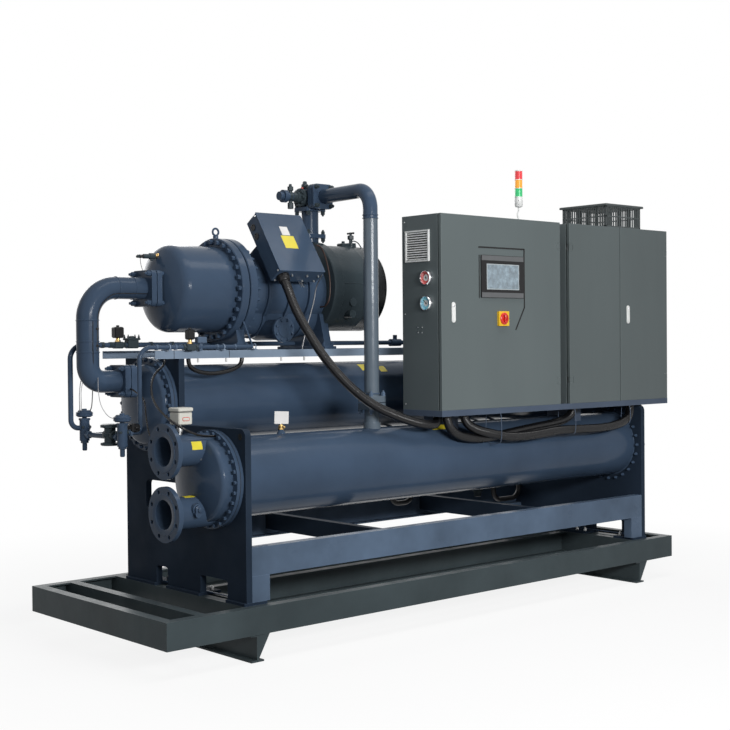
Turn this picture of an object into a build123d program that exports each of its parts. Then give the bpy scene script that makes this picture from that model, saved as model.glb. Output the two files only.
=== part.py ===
"""Water-cooled screw chiller on a skid: two shell vessels between stepped end plates,
a semi-hermetic screw compressor on rails above them, and two control cabinets.

Working frame: origin at the front left lower corner of the base ring, X along the skid,
Y from the front to the back, Z up. The pieces are moved at the end so that the origin
lies at the centre of the whole outline, on the floor.
"""

import os
from math import asin, cos, radians, sin, tan

from build123d import *

# Base ring and feet
SKID_LENGTH = 4070.0
SKID_WIDTH = 1355.0
CHANNEL_HEIGHT = 140.0
CHANNEL_FLANGE = 58.0
CHANNEL_WEB = 7.0
CHANNEL_FLANGE_THICKNESS = 9.0
BASE_CROSS_X = 205.0
FOOT_HEIGHT = 140.0
FOOT_WIDTH = 80.0
FOOT_WEB = 8.0
FOOT_FLANGE = 9.0
FOOT_SETBACK = 8.0
LEFT_FOOT_X = 547.0
RIGHT_FOOT_X = 3724.0
GUSSET_REACH = 75.0
GUSSET_THICKNESS = 8.0

# End plates
PLATE_THICKNESS = 36.0
LEFT_PLATE_X = 514.0
RIGHT_PLATE_X = 3804.0
PLATE_FRONT_Y = 52.0
PLATE_STEP_Y = 647.0
PLATE_REAR_Y = 1190.0
PLATE_LOW_TOP = 1040.0
PLATE_HIGH_TOP = 1396.0
PLATE_CORNER_RADIUS = 40.0
PAD_THICKNESS = 15.0
PAD_OUTER_REACH = 14.0
PAD_INNER_REACH = 130.0
NOTCH_TOP = 252.0
FRONT_NOTCH_Y = 218.0
FRONT_NOTCH_WIDTH = 243.0
REAR_NOTCH_Y = 777.0
REAR_NOTCH_WIDTH = 110.0
NOTCH_RADIUS = 15.0
PLATE_WINDOW_Y = 818.0
PLATE_WINDOW_WIDTH = 340.0
PLATE_WINDOW_Z = 642.0
PLATE_WINDOW_HEIGHT = 160.0
PLATE_WINDOW_RADIUS = 30.0

# Low frame between the plates
BEAM_HEIGHT = 147.0
BEAM_FLANGE = 60.0
BEAM_WEB = 8.0
BEAM_BOTTOM = 288.0
STUB_LENGTH = 112.0
STUB_WALL = 8.0
TIE_HEIGHT = 100.0
TIE_FLANGE = 48.0
LEFT_TIE_X = 1455.0
RIGHT_TIE_X = 2770.0

# Vessels
SHELL_RADIUS = 213.0
CONDENSER_Y = 325.0
CONDENSER_Z = 771.0
EVAPORATOR_Y = 918.0
EVAPORATOR_Z = 1144.0
HEAD_RING_RADIUS = 258.0
HEAD_RING_THICKNESS = 40.0
HEAD_BODY_RADIUS = 222.0
WATER_BOX_DEPTH = 60.0
WATER_BOX_CROWN = 45.0
COVER_DEPTH = 22.0
COVER_CROWN = 38.0
HEAD_KNUCKLE = 24.0
RIGHT_RING_RADIUS = 250.0
RIGHT_RING_THICKNESS = 25.0

# Water nozzles, flanges to the DN150 PN16 pattern
NOZZLE_OFFSET = 160.0
NOZZLE_PIPE_RADIUS = 84.0
NOZZLE_BORE_RADIUS = 75.0
NOZZLE_FACE_X = 200.0
FLANGE_RADIUS = 142.5
FLANGE_THICKNESS = 25.0
FLANGE_HUB_RADIUS = 96.0
FLANGE_HUB_LENGTH = 24.0
BOLT_CIRCLE_RADIUS = 120.0
BOLT_HOLE_RADIUS = 11.0
BOLT_COUNT = 8
SIDE_BOSS_RADIUS = 17.0
SIDE_BOSS_LENGTH = 26.0
REAR_NOZZLE_FACE_Y = 1345.0
LEFT_REAR_NOZZLE_X = 900.0
RIGHT_REAR_NOZZLE_X = 3430.0
SWITCH_STEM_RADIUS = 12.0
SWITCH_STEM_LENGTH = 48.0
SWITCH_BOX_LENGTH = 66.0
SWITCH_BOX_WIDTH = 92.0
SWITCH_BOX_HEIGHT = 62.0
SWITCH_BOX_FILLET = 5.0
SWITCH_X = 300.0
RELIEF_X = 965.0
RELIEF_HEIGHT = 92.0
RELIEF_RADIUS = 13.0
RELIEF_HEX_RADIUS = 21.0
RELIEF_HEX_FROM = 31.0
RELIEF_HEX_TO = 46.0
RELIEF_OUTLET_RISE = 39.0
RELIEF_OUTLET_REACH = 39.0
RELIEF_OUTLET_RADIUS = 9.0

# Rails under the compressor
RAIL_HEIGHT = 43.0
RAIL_WIDTH = 43.0
RAIL_WALL = 5.0
RAIL_START_X = 365.0
MOTOR_FOOT_X = 985.0
TANK_FOOT_X = 1930.0
CROSS_RAIL_WIDTH = 90.0

# Compressor
COMPRESSOR_Y = 918.0
MOTOR_AXIS_HEIGHT = 346.0
MOTOR_RADIUS = 245.0
MOTOR_END_X = 600.0
MOTOR_DOME_DEPTH = 75.0
FLANGE_RING_RADIUS = 296.0
RING_START_X = 929.0
RING_THICKNESS = 52.0
RING_GAP = 7.0
RING_CHAMFER = 5.0
ROTOR_RADIUS = 196.0
ROTOR_LOWER_RADIUS = 140.0
ROTOR_LOWER_DROP = 130.0
ROTOR_RIB_RADIUS = 214.0
ROTOR_RIB_THICKNESS = 22.0
ROTOR_RIB_COUNT = 3
TANK_RING_X = 1640.0
TANK_RING_RADIUS = 280.0
TANK_RADIUS = 263.0
TANK_AXIS_RISE = 26.0
TANK_END_X = 2172.0
TANK_DOME_DEPTH = 92.0
BARREL_KNUCKLE = 62.0
FOOT_PLATE_THICKNESS = 16.0
FOOT_GAP_Y = 40.0
FOOT_WEB_TOP_DROP = 147.0
FOOT_WEB_INSET = 56.0
FOOT_WEB_FLARE = 14.0
COVER_X = 1243.0
COVER_DROP = 233.0
COVER_FACE_Y = 652.0
COVER_RADIUS = 60.0
COVER_FLANGE_RADIUS = 74.0
COVER_FLANGE_THICKNESS = 22.0
EYE_RADIUS = 20.0
EYE_WIRE_RADIUS = 6.0
EYE_BASE_RADIUS = 16.0
EYE_BASE_HEIGHT = 14.0
TANK_PORT_X = 1905.0
TANK_PORT_HEIGHT = 70.0
TANK_PORT_RADIUS = 11.0
TANK_PORT_BASE_RADIUS = 33.0
TANK_PORT_BASE_HEIGHT = 23.0
GLASS_RADIUS = 24.0
GLASS_SINK = 6.0
GLASS_SPACING = 130.0
HIGH_GLASS_DROP = 92.0
LOW_GLASS_DROP = 163.0

# Terminal box, tilted back over the rotor housing
BOX_LEFT_X = 1126.0
BOX_LENGTH = 330.0
BOX_FACE = 411.0
BOX_DEPTH = 100.0
BOX_TILT = 33.5
BOX_FRONT_Y = 538.0
BOX_RISE = 100.0
BOX_RADIUS = 6.0
NECK_LENGTH = 210.0
NECK_WIDTH = 230.0
NECK_CENTRE = 173.0
GLAND_RADIUS = 33.0
GLAND_LENGTH = 34.0

# Suction pipe
PIPE_RADIUS = 60.5
PIPE_BEND = 190.0
SUCTION_DROP = 2.0
SUCTION_LOW_RISE = 132.0
RISER_X = 117.0
UPPER_FLANGE_SIDE = 200.0
UPPER_FLANGE_X = 535.0
UPPER_FLANGE_DEPTH = 66.0
LOWER_FLANGE_SIDE = 176.0
LOWER_FLANGE_X = 339.0
LOWER_FLANGE_DEPTH = 73.0
FLANGE_CORNER = 26.0
JOINT_GROOVE = 5.0
SLEEVE_GROWTH = 7.0
SLEEVE_LENGTH = 34.0

# Discharge side
VALVE_X = 1700.0
VALVE_BODY_SIDE = 118.0
VALVE_AXIS_RISE = 514.0
VALVE_LENGTH_Y = 150.0
VALVE_NECK_RADIUS = 52.0
VALVE_PLATE_SIDE = 150.0
VALVE_PLATE_THICKNESS = 24.0
VALVE_STEM_RADIUS = 26.0
VALVE_STEM_END_X = 1462.0
VALVE_CAP_RADIUS = 38.0
VALVE_NECK_RISE = 301.0
DISCHARGE_RADIUS = 43.0
DISCHARGE_BEND = 115.0
DISCHARGE_X = 1621.0
DISCHARGE_Y = 325.0
RISER_JOINT_DROP = 135.0
RISER_FLANGE_RISE = 319.0
RISER_FLANGE_SIDE = 128.0
RISER_FLANGE_THICKNESS = 36.0
CROWN_FIT = 30.0

# Refrigerant piping
LIQUID_RADIUS = 14.0
LIQUID_BEND = 75.0
LIQUID_LOW_BEND = 45.0
LIQUID_X = 62.0
LIQUID_Y = 1010.0
LIQUID_CLEARANCE = 4.0
LIQUID_DROP_X = 2560.0
LIQUID_DROP_Y = 470.0
LIQUID_VALVE_X = 2443.0
LIQUID_VALVE_LENGTH = 86.0
LIQUID_VALVE_RADIUS = 24.0
BONNET_HEIGHT = 50.0
PIPE_HOLE_CLEARANCE = 2.0
INJECTION_RADIUS = 12.0
INJECTION_BEND = 70.0
INJECTION_LOW_BEND = 30.0
INJECTION_X = 252.0
INJECTION_Y = 622.0
INJECTION_RISE = 19.0

# Expansion valves
EXPANSION_X = 144.0
EXPANSION_RADIUS = 27.0
EXPANSION_ABOVE = 45.0
EXPANSION_BELOW = 70.0
EXPANSION_TAIL_RADIUS = 13.0
EXPANSION_TAIL_LENGTH = 50.0
EXPANSION_HEAD_RADIUS = 44.0
EXPANSION_HEAD_HEIGHT = 32.0
EXPANSION_HEAD_RISE = 58.0
EXPANSION_HEAD_EDGE = 8.0
EXPANSION_INLET_DROP = 117.0
INJECTION_INLET_DROP = 129.0
LINK_DROP = 153.0

# Cabinets
DOOR_FRONT_Y = 30.0
DOOR_THICKNESS = 20.0
DOOR_GAP = 10.0
CABINET_WALL = 3.0
CABINET_LIP = 25.0
CABINET_BOTTOM = 1078.0
CABINET_HEIGHT = 1137.0
LEFT_CABINET_X = 1899.0
LEFT_CABINET_WIDTH = 1050.0
LEFT_CABINET_BACK_Y = 355.0
CABINET_SPACING = 90.0
RIGHT_CABINET_WIDTH = 1030.0
RIGHT_CABINET_BACK_Y = 430.0
LEAF_GAP = 6.0
DOOR_EDGE_FILLET = 2.5
PLATE_MARGIN = 60.0
PLATE_STANDOFF = 25.0
MOUNTING_PLATE = 3.0

# Door hinges
PIN_INSET = 10.0
PIN_RADIUS = 4.0
PIN_CLEARANCE = 0.05
PIN_REACH = 14.0
PIN_END_CLEARANCE = 1.0
KNUCKLE_RADIUS = 7.0
KNUCKLE_HEIGHT = 36.0
NOTCH_CLEARANCE = 2.0
HINGE_NOTCH_DEPTH = 26.0
HINGE_END_DISTANCE = 150.0
ARM_WIDTH = 8.0

# Door furniture
HANDLE_WIDTH = 30.0
HANDLE_HEIGHT = 119.0
HANDLE_THICKNESS = 7.0
HANDLE_INSET = 82.0
HANDLE_CENTRE_Z = 1645.0
HMI_X = 2226.0
HMI_WIDTH = 373.0
HMI_Z = 1734.0
HMI_HEIGHT = 253.0
HMI_DEPTH = 9.0
HMI_SCREEN_WIDTH = 274.0
HMI_SCREEN_HEIGHT = 142.0
HMI_SCREEN_RECESS = 2.5
SWITCH_CENTRE_X = 2412.0
SWITCH_CENTRE_Z = 1611.0
SWITCH_PLATE_SIDE = 88.0
SWITCH_PLATE_THICKNESS = 7.0
KNOB_RADIUS = 24.0
KNOB_THICKNESS = 8.0
KNOB_GRIP_WIDTH = 13.0
KNOB_GRIP_HEIGHT = 13.0
KNOB_SHAFT_RADIUS = 5.0
KNOB_GAP = 1.0
KNOB_BORE_DEPTH = 10.0

# Cabinet side and roof furniture
LOUVRE_Y = 123.0
LOUVRE_WIDTH = 196.0
LOUVRE_Z = 1943.0
LOUVRE_HEIGHT = 183.0
LOUVRE_DEPTH = 12.0
LOUVRE_FRAME = 9.0
SLAT_COUNT = 11
SLAT_THICKNESS = 3.0
SLAT_DEPTH = 15.6
SLAT_TILT = 38.0
GAUGE_RADIUS = 46.0
GAUGE_DEPTH = 26.0
GAUGE_Y = 142.0
UPPER_GAUGE_Z = 1847.0
LOWER_GAUGE_Z = 1700.0
TOWER_X = 2745.0
TOWER_Y = 190.0
TOWER_RADIUS = 25.0
TOWER_STEM_RADIUS = 6.0
TOWER_FOOT_HEIGHT = 8.0
TOWER_STEM_LENGTH = 95.0
TOWER_BASE_HEIGHT = 62.0
TOWER_LENS_HEIGHT = 54.0
TOWER_LENS_COUNT = 3
TOWER_CAP_HEIGHT = 8.0
HOOD_X = 3412.0
HOOD_WIDTH = 350.0
HOOD_Y = 62.0
HOOD_DEPTH = 340.0
HOOD_HEIGHT = 84.0
HOOD_CAP_OVERHANG = 14.0
HOOD_CAP_THICKNESS = 16.0
HOOD_WALL = 4.0

# Cabinet supports
CABINET_RAIL_HEIGHT = 35.0
CABINET_RAIL_WIDTH = 40.0
SADDLE_WIDTH = 60.0
SADDLE_HALF_DEPTH = 117.0
LEFT_SADDLE_X = 2150.0
RIGHT_SADDLE_X = 3300.0

# Conduits and cables
CONDUIT_RADIUS = 27.0
SENSOR_CABLE_RADIUS = 6.0
RAIL_CABLE_RADIUS = 12.0
WIRE_RADIUS = 4.5
ARC_SHARE = 0.45
SMALL_LENGTH = 1e-6

# What follows from the sizes above
PLATE_BOTTOM = CHANNEL_HEIGHT + PAD_THICKNESS
CABINET_TOP = CABINET_BOTTOM + CABINET_HEIGHT
BODY_FRONT_Y = DOOR_FRONT_Y + DOOR_THICKNESS + DOOR_GAP
RIGHT_CABINET_X = LEFT_CABINET_X + LEFT_CABINET_WIDTH + CABINET_SPACING
RAIL_TOP = PLATE_HIGH_TOP + RAIL_HEIGHT
MOTOR_Z = RAIL_TOP + MOTOR_AXIS_HEIGHT
TANK_Z = MOTOR_Z + TANK_AXIS_RISE
COVER_Z = MOTOR_Z - COVER_DROP
BOX_FRONT_Z = MOTOR_Z + BOX_RISE
SUCTION_TOP_Z = MOTOR_Z - SUCTION_DROP
SUCTION_LOW_Z = EVAPORATOR_Z + SUCTION_LOW_RISE
VALVE_AXIS_Z = TANK_Z + VALVE_AXIS_RISE
VALVE_NECK_Z = TANK_Z + VALVE_NECK_RISE
RISER_JOINT_Z = VALVE_AXIS_Z - RISER_JOINT_DROP
RISER_FLANGE_Z = CONDENSER_Z + RISER_FLANGE_RISE
INJECTION_Z = RAIL_TOP + INJECTION_RISE
LIQUID_Z = RAIL_TOP + FOOT_PLATE_THICKNESS + LIQUID_CLEARANCE + LIQUID_RADIUS
EXPANSION_INLET_Z = EVAPORATOR_Z - EXPANSION_INLET_DROP
INJECTION_INLET_Z = EVAPORATOR_Z - INJECTION_INLET_DROP
LINK_Z = EVAPORATOR_Z - LINK_DROP
LEFT_PLATE_END = LEFT_PLATE_X + PLATE_THICKNESS
RIGHT_PLATE_END = RIGHT_PLATE_X + PLATE_THICKNESS
RING_END_X = RING_START_X + 2 * RING_THICKNESS + RING_GAP
CABINET_RAIL_BOTTOM = CABINET_BOTTOM - CABINET_RAIL_HEIGHT


def block(x0, x1, y0, y1, z0, z1):
    """Box between two corners."""
    size = Box(x1 - x0, y1 - y0, z1 - z0)
    return Pos((x0 + x1) / 2, (y0 + y1) / 2, (z0 + z1) / 2) * size


def rod_x(x0, x1, y, z, radius):
    """Round bar along X."""
    return Pos((x0 + x1) / 2, y, z) * Rot(0, 90, 0) * Cylinder(radius, x1 - x0)


def rod_y(x, y0, y1, z, radius):
    """Round bar along Y."""
    return Pos(x, (y0 + y1) / 2, z) * Rot(90, 0, 0) * Cylinder(radius, y1 - y0)


def rod_z(x, y, z0, z1, radius):
    """Round bar along Z."""
    return Pos(x, y, (z0 + z1) / 2) * Cylinder(radius, z1 - z0)


def crown_arc(x_rim, x_crown, radius):
    """Shallow arc of a dished end, from its rim at x_rim to its crown on the axis."""
    rise = x_crown - x_rim
    arc_radius = (radius**2 + rise**2) / (2 * abs(rise))
    half = asin(radius / arc_radius) / 2
    side = 1 if rise > 0 else -1
    middle_x = x_crown - side * arc_radius * (1 - cos(half))
    return ThreePointArc((x_rim, radius), (middle_x, arc_radius * sin(half)), (x_crown, 0))


def dished_end(steps, x_crown, knuckle, y, z):
    """Piece turned about a line along X: steps of (x, radius) that close in a dished end."""
    x_rim, rim_radius = steps[-1]
    arc = crown_arc(x_rim, x_crown, rim_radius)
    closing = Line((x_crown, 0), steps[0])
    face = make_face([*Polyline(*steps).edges(), arc, closing])
    corner = face.vertices().sort_by_distance((x_rim, rim_radius))[0]
    return Pos(0, y, z) * revolve(fillet(corner, knuckle), Axis.X)


def bolted_head(x_plate, side, ring_radius, ring, body, crown, y, z):
    """Bolted ring, straight skirt and dished end; side is -1 when the head faces -X."""
    x_ring = x_plate + side * ring
    x_body = x_ring + side * body
    steps = [(x_plate, 0), (x_plate, ring_radius), (x_ring, ring_radius)]
    steps += [(x_ring, HEAD_BODY_RADIUS), (x_body, HEAD_BODY_RADIUS)]
    return dished_end(steps, x_body + side * crown, HEAD_KNUCKLE, y, z)


def flanged_barrel(x_ring, side, ring_radius, x_rim, x_crown, radius, z):
    """Barrel of the compressor with a chamfered flange at its open end and a dished far end."""
    edge = side * RING_CHAMFER
    x_back = x_ring + side * RING_THICKNESS
    steps = [(x_ring, 0), (x_ring, ring_radius - RING_CHAMFER), (x_ring + edge, ring_radius)]
    steps += [(x_back - edge, ring_radius), (x_back, ring_radius - RING_CHAMFER)]
    steps += [(x_back, radius), (x_rim, radius)]
    return dished_end(steps, x_crown, BARREL_KNUCKLE, COMPRESSOR_Y, z)


def channel_profile(height, flange, web, thickness):
    """C section in a plane: back at local x = 0, flanges towards +x, height centred."""
    outer = Pos(flange / 2, 0) * Rectangle(flange, height)
    inner = Pos(web + (flange - web) / 2, 0) * Rectangle(flange - web, height - 2 * thickness)
    return outer - inner


def channel_along_x(x0, x1, back_y, side, bottom, height, flange, web, thickness):
    """C section along X whose back is at back_y; side is +1 when its flanges point to +Y."""
    plane = Plane(origin=(x0, back_y, bottom + height / 2), x_dir=(0, side, 0), z_dir=(1, 0, 0))
    profile = plane * channel_profile(height, flange, web, thickness)
    return extrude(profile, x1 - x0, dir=(1, 0, 0))


def channel_along_y(y0, y1, back_x, side, bottom, height, flange, web, thickness):
    """C section along Y whose back is at back_x; side is +1 when its flanges point to +X."""
    plane = Plane(origin=(back_x, y0, bottom + height / 2), x_dir=(side, 0, 0), z_dir=(0, 1, 0))
    profile = plane * channel_profile(height, flange, web, thickness)
    return extrude(profile, y1 - y0, dir=(0, 1, 0))


def base_channel_x(back_y, side):
    """Long channel of the base ring."""
    return channel_along_x(0, SKID_LENGTH, back_y, side, 0, CHANNEL_HEIGHT, CHANNEL_FLANGE,
                           CHANNEL_WEB, CHANNEL_FLANGE_THICKNESS)


def base_channel_y(back_x, side, length_channels):
    """End or cross channel of the base, coped into the long ones."""
    bar = channel_along_y(0, SKID_WIDTH, back_x, side, 0, CHANNEL_HEIGHT, CHANNEL_FLANGE,
                          CHANNEL_WEB, CHANNEL_FLANGE_THICKNESS)
    return bar - length_channels


def base_cross_members(length_channels):
    """Cross channels inside the ring: one near the left end and a pair under each end plate."""
    backs = [(BASE_CROSS_X, 1)]
    for plate_x in (LEFT_PLATE_X, RIGHT_PLATE_X):
        backs.append((plate_x - PAD_OUTER_REACH, 1))
    for plate_x in (LEFT_PLATE_X, RIGHT_PLATE_X):
        inward = 1 if plate_x == LEFT_PLATE_X else -1
        inner = plate_x + PAD_INNER_REACH if inward > 0 else plate_x + PLATE_THICKNESS - PAD_INNER_REACH
        backs.append((inner, -inward))
    return [base_channel_y(x, side, length_channels) for x, side in backs]


def pad_span(plate_x):
    """Low and high X of the pads under one end plate."""
    if plate_x == LEFT_PLATE_X:
        return plate_x - PAD_OUTER_REACH, plate_x + PAD_INNER_REACH
    return plate_x + PLATE_THICKNESS - PAD_INNER_REACH, plate_x + PLATE_THICKNESS + PAD_OUTER_REACH


def base_centre_beam():
    """Channel along the middle of the base, between the inner cross channels."""
    start = pad_span(LEFT_PLATE_X)[1]
    end = pad_span(RIGHT_PLATE_X)[0]
    middle = SKID_WIDTH / 2
    return channel_along_x(start, end, middle, -1, 0, CHANNEL_HEIGHT, CHANNEL_FLANGE,
                           CHANNEL_WEB, CHANNEL_FLANGE_THICKNESS)


def foot_beam(centre_x):
    """I beam across the skid, with a triangular gusset behind its front end."""
    y0 = FOOT_SETBACK
    y1 = SKID_WIDTH - FOOT_SETBACK
    half = FOOT_WIDTH / 2
    beam = block(centre_x - half, centre_x + half, y0, y1, -FOOT_HEIGHT, -FOOT_HEIGHT + FOOT_FLANGE)
    beam += block(centre_x - half, centre_x + half, y0, y1, -FOOT_FLANGE, 0)
    beam += block(centre_x - FOOT_WEB / 2, centre_x + FOOT_WEB / 2, y0, y1, -FOOT_HEIGHT, 0)
    for y in (y0 + GUSSET_THICKNESS, y1):
        beam += foot_gusset(centre_x + FOOT_WEB / 2, y)
    return beam


def foot_gusset(x, y):
    """Triangular plate from the web out under the ring."""
    corners = [(x, -FOOT_HEIGHT + FOOT_FLANGE), (x, 0), (x + GUSSET_REACH, 0)]
    face = Plane.XZ.offset(-y) * make_face(Polyline(*corners, close=True).edges())
    return extrude(face, GUSSET_THICKNESS)


def plate_outline():
    """Face of an end plate in the YZ plane: low at the front, high under the compressor rails."""
    low = Pos((PLATE_FRONT_Y + PLATE_STEP_Y) / 2, (PLATE_BOTTOM + PLATE_LOW_TOP) / 2)
    front = low * Rectangle(PLATE_STEP_Y - PLATE_FRONT_Y, PLATE_LOW_TOP - PLATE_BOTTOM)
    corner = front.vertices().sort_by(Axis.Y)[-2:].sort_by(Axis.X)[0]
    front = fillet(corner, PLATE_CORNER_RADIUS)
    high = Pos((PLATE_STEP_Y + PLATE_REAR_Y) / 2, (PLATE_BOTTOM + PLATE_HIGH_TOP) / 2)
    rear = high * Rectangle(PLATE_REAR_Y - PLATE_STEP_Y, PLATE_HIGH_TOP - PLATE_BOTTOM)
    face = front + rear
    for y, width in ((FRONT_NOTCH_Y, FRONT_NOTCH_WIDTH), (REAR_NOTCH_Y, REAR_NOTCH_WIDTH)):
        height = NOTCH_TOP - PLATE_BOTTOM + NOTCH_RADIUS
        notch = RectangleRounded(width, 2 * height, NOTCH_RADIUS)
        face -= Pos(y + width / 2, NOTCH_TOP - height) * notch
    window = RectangleRounded(PLATE_WINDOW_WIDTH, PLATE_WINDOW_HEIGHT, PLATE_WINDOW_RADIUS)
    return face - Pos(PLATE_WINDOW_Y, PLATE_WINDOW_Z) * window


def end_plate(x):
    """Stepped steel plate across the skid that carries both vessels."""
    plane = Plane(origin=(x, 0, 0), x_dir=(0, 1, 0), z_dir=(1, 0, 0))
    return extrude(plane * plate_outline(), PLATE_THICKNESS)


def end_plate_pads():
    """Pads between the base and the feet of the end plates."""
    spans = [(PLATE_FRONT_Y, FRONT_NOTCH_Y), (FRONT_NOTCH_Y + FRONT_NOTCH_WIDTH, REAR_NOTCH_Y)]
    spans.append((REAR_NOTCH_Y + REAR_NOTCH_WIDTH, PLATE_REAR_Y))
    pads = []
    for plate_x in (LEFT_PLATE_X, RIGHT_PLATE_X):
        x0, x1 = pad_span(plate_x)
        for y0, y1 in spans:
            pads.append(block(x0, x1, y0, y1, CHANNEL_HEIGHT, PLATE_BOTTOM))
    return pads


def long_beam(back_y, side):
    """Channel between the end plates, low at the front or the back."""
    return channel_along_x(LEFT_PLATE_END, RIGHT_PLATE_X, back_y, side, BEAM_BOTTOM, BEAM_HEIGHT,
                           BEAM_FLANGE, BEAM_WEB, BEAM_WEB)


def beam_stubs():
    """Short box posts between the pads and the long beams."""
    stubs = []
    for x0 in (LEFT_PLATE_END, RIGHT_PLATE_X - STUB_LENGTH):
        for y0 in (PLATE_FRONT_Y, PLATE_REAR_Y - BEAM_FLANGE):
            x1 = x0 + STUB_LENGTH
            y1 = y0 + BEAM_FLANGE
            post = block(x0, x1, y0, y1, PLATE_BOTTOM, BEAM_BOTTOM)
            post -= block(x0 + STUB_WALL, x1 - STUB_WALL, y0 + STUB_WALL, y1 - STUB_WALL,
                          PLATE_BOTTOM, BEAM_BOTTOM)
            stubs.append(post)
    return stubs


def frame_cross_beams():
    """Two channels that tie the long beams together."""
    top = BEAM_BOTTOM + BEAM_HEIGHT
    y0 = PLATE_FRONT_Y + BEAM_FLANGE
    y1 = PLATE_REAR_Y - BEAM_FLANGE
    return [channel_along_y(y0, y1, x, 1, top - TIE_HEIGHT, TIE_HEIGHT, TIE_FLANGE, BEAM_WEB, BEAM_WEB)
            for x in (LEFT_TIE_X, RIGHT_TIE_X)]


def vessel_shell(y, z):
    """Shell between the end plates."""
    return rod_x(LEFT_PLATE_END, RIGHT_PLATE_X, y, z, SHELL_RADIUS)


def left_head(y, z, body_depth, crown_depth):
    """Bolted ring and head on the outer face of the left plate."""
    return bolted_head(LEFT_PLATE_X, -1, HEAD_RING_RADIUS, HEAD_RING_THICKNESS, body_depth,
                       crown_depth, y, z)


def right_head(y, z):
    """Blind head on the outer face of the right plate."""
    return bolted_head(RIGHT_PLATE_END, 1, RIGHT_RING_RADIUS, RIGHT_RING_THICKNESS, COVER_DEPTH,
                       COVER_CROWN, y, z)


def nozzle(length):
    """Flanged water nozzle with its face at x = 0, running towards +X, bored right through."""
    flange_end = FLANGE_THICKNESS
    body = rod_x(0, flange_end, 0, 0, FLANGE_RADIUS)
    hub = Cone(FLANGE_HUB_RADIUS, NOZZLE_PIPE_RADIUS, FLANGE_HUB_LENGTH)
    body += Pos(flange_end + FLANGE_HUB_LENGTH / 2, 0, 0) * Rot(0, 90, 0) * hub
    body += rod_x(flange_end, length, 0, 0, NOZZLE_PIPE_RADIUS)
    body -= rod_x(0, length, 0, 0, NOZZLE_BORE_RADIUS)
    for index in range(BOLT_COUNT):
        angle = radians(360 / BOLT_COUNT * (index + 0.5))
        hole_y = BOLT_CIRCLE_RADIUS * cos(angle)
        hole_z = BOLT_CIRCLE_RADIUS * sin(angle)
        body -= rod_x(0, flange_end, hole_y, hole_z, BOLT_HOLE_RADIUS)
    return body


def front_nozzle(z, head):
    """Water nozzle on the left head of the condenser."""
    reach = LEFT_PLATE_X - HEAD_RING_THICKNESS - NOZZLE_FACE_X
    body = Pos(NOZZLE_FACE_X, CONDENSER_Y, z) * nozzle(reach)
    return largest(body - head)


def side_boss(z):
    """Plugged boss on the front side of a nozzle's pipe."""
    y_pipe = CONDENSER_Y - NOZZLE_PIPE_RADIUS
    x = (NOZZLE_FACE_X + LEFT_PLATE_X - HEAD_RING_THICKNESS) / 2
    boss = rod_y(x, y_pipe - SIDE_BOSS_LENGTH, CONDENSER_Y - NOZZLE_BORE_RADIUS, z, SIDE_BOSS_RADIUS)
    pipe = rod_x(NOZZLE_FACE_X, LEFT_PLATE_X, CONDENSER_Y, z, NOZZLE_PIPE_RADIUS)
    return boss - pipe


def rear_nozzles(shell):
    """Water nozzles on the back of the evaporator."""
    made = []
    length = REAR_NOZZLE_FACE_Y - EVAPORATOR_Y
    for x in (LEFT_REAR_NOZZLE_X, RIGHT_REAR_NOZZLE_X):
        turned = Rot(0, 0, -90) * nozzle(length)
        made.append(largest(Pos(x, REAR_NOZZLE_FACE_Y, EVAPORATOR_Z) * turned - shell))
    return made


def largest(shape):
    """Biggest solid of a cut."""
    return max(shape.solids(), key=lambda solid: solid.volume)


def flow_switch():
    """Paddle switch on the upper nozzle: stem and box."""
    z0 = CONDENSER_Z + NOZZLE_OFFSET
    pipe = rod_x(NOZZLE_FACE_X, LEFT_PLATE_X, CONDENSER_Y, z0, NOZZLE_PIPE_RADIUS)
    z_box = z0 + NOZZLE_PIPE_RADIUS + SWITCH_STEM_LENGTH
    stem = rod_z(SWITCH_X, CONDENSER_Y, z0, z_box, SWITCH_STEM_RADIUS) - pipe
    box = Box(SWITCH_BOX_LENGTH, SWITCH_BOX_WIDTH, SWITCH_BOX_HEIGHT)
    box = fillet(box.edges(), SWITCH_BOX_FILLET)
    return stem + Pos(SWITCH_X, CONDENSER_Y, z_box + SWITCH_BOX_HEIGHT / 2) * box


def relief_valve(shell):
    """Angle valve on the crown of the condenser."""
    z0 = CONDENSER_Z + SHELL_RADIUS
    body = rod_z(RELIEF_X, CONDENSER_Y, CONDENSER_Z, z0 + RELIEF_HEIGHT, RELIEF_RADIUS)
    body += rod_z(RELIEF_X, CONDENSER_Y, z0 + RELIEF_HEX_FROM, z0 + RELIEF_HEX_TO, RELIEF_HEX_RADIUS)
    body += rod_y(RELIEF_X, CONDENSER_Y - RELIEF_OUTLET_REACH, CONDENSER_Y, z0 + RELIEF_OUTLET_RISE,
                  RELIEF_OUTLET_RADIUS)
    return body - shell


def compressor_rail(back_y, side):
    """Channel rail under the compressor, on top of the end plates."""
    return channel_along_x(RAIL_START_X, RIGHT_PLATE_END, back_y, side, PLATE_HIGH_TOP, RAIL_HEIGHT,
                           RAIL_WIDTH, RAIL_WALL, RAIL_WALL)


def compressor_cross_rails():
    """Plates between the rails under the compressor's feet."""
    y0 = PLATE_STEP_Y + RAIL_WIDTH
    y1 = PLATE_REAR_Y - RAIL_WIDTH
    return [block(x - CROSS_RAIL_WIDTH / 2, x + CROSS_RAIL_WIDTH / 2, y0, y1, PLATE_HIGH_TOP, RAIL_TOP)
            for x in (MOTOR_FOOT_X, TANK_FOOT_X)]


def ring(x0, x1, z, radius):
    """Chamfered flange disc of the compressor."""
    disc = rod_x(x0, x1, COMPRESSOR_Y, z, radius)
    rims = disc.edges().filter_by(GeomType.CIRCLE)
    return chamfer(rims, RING_CHAMFER)


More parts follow.
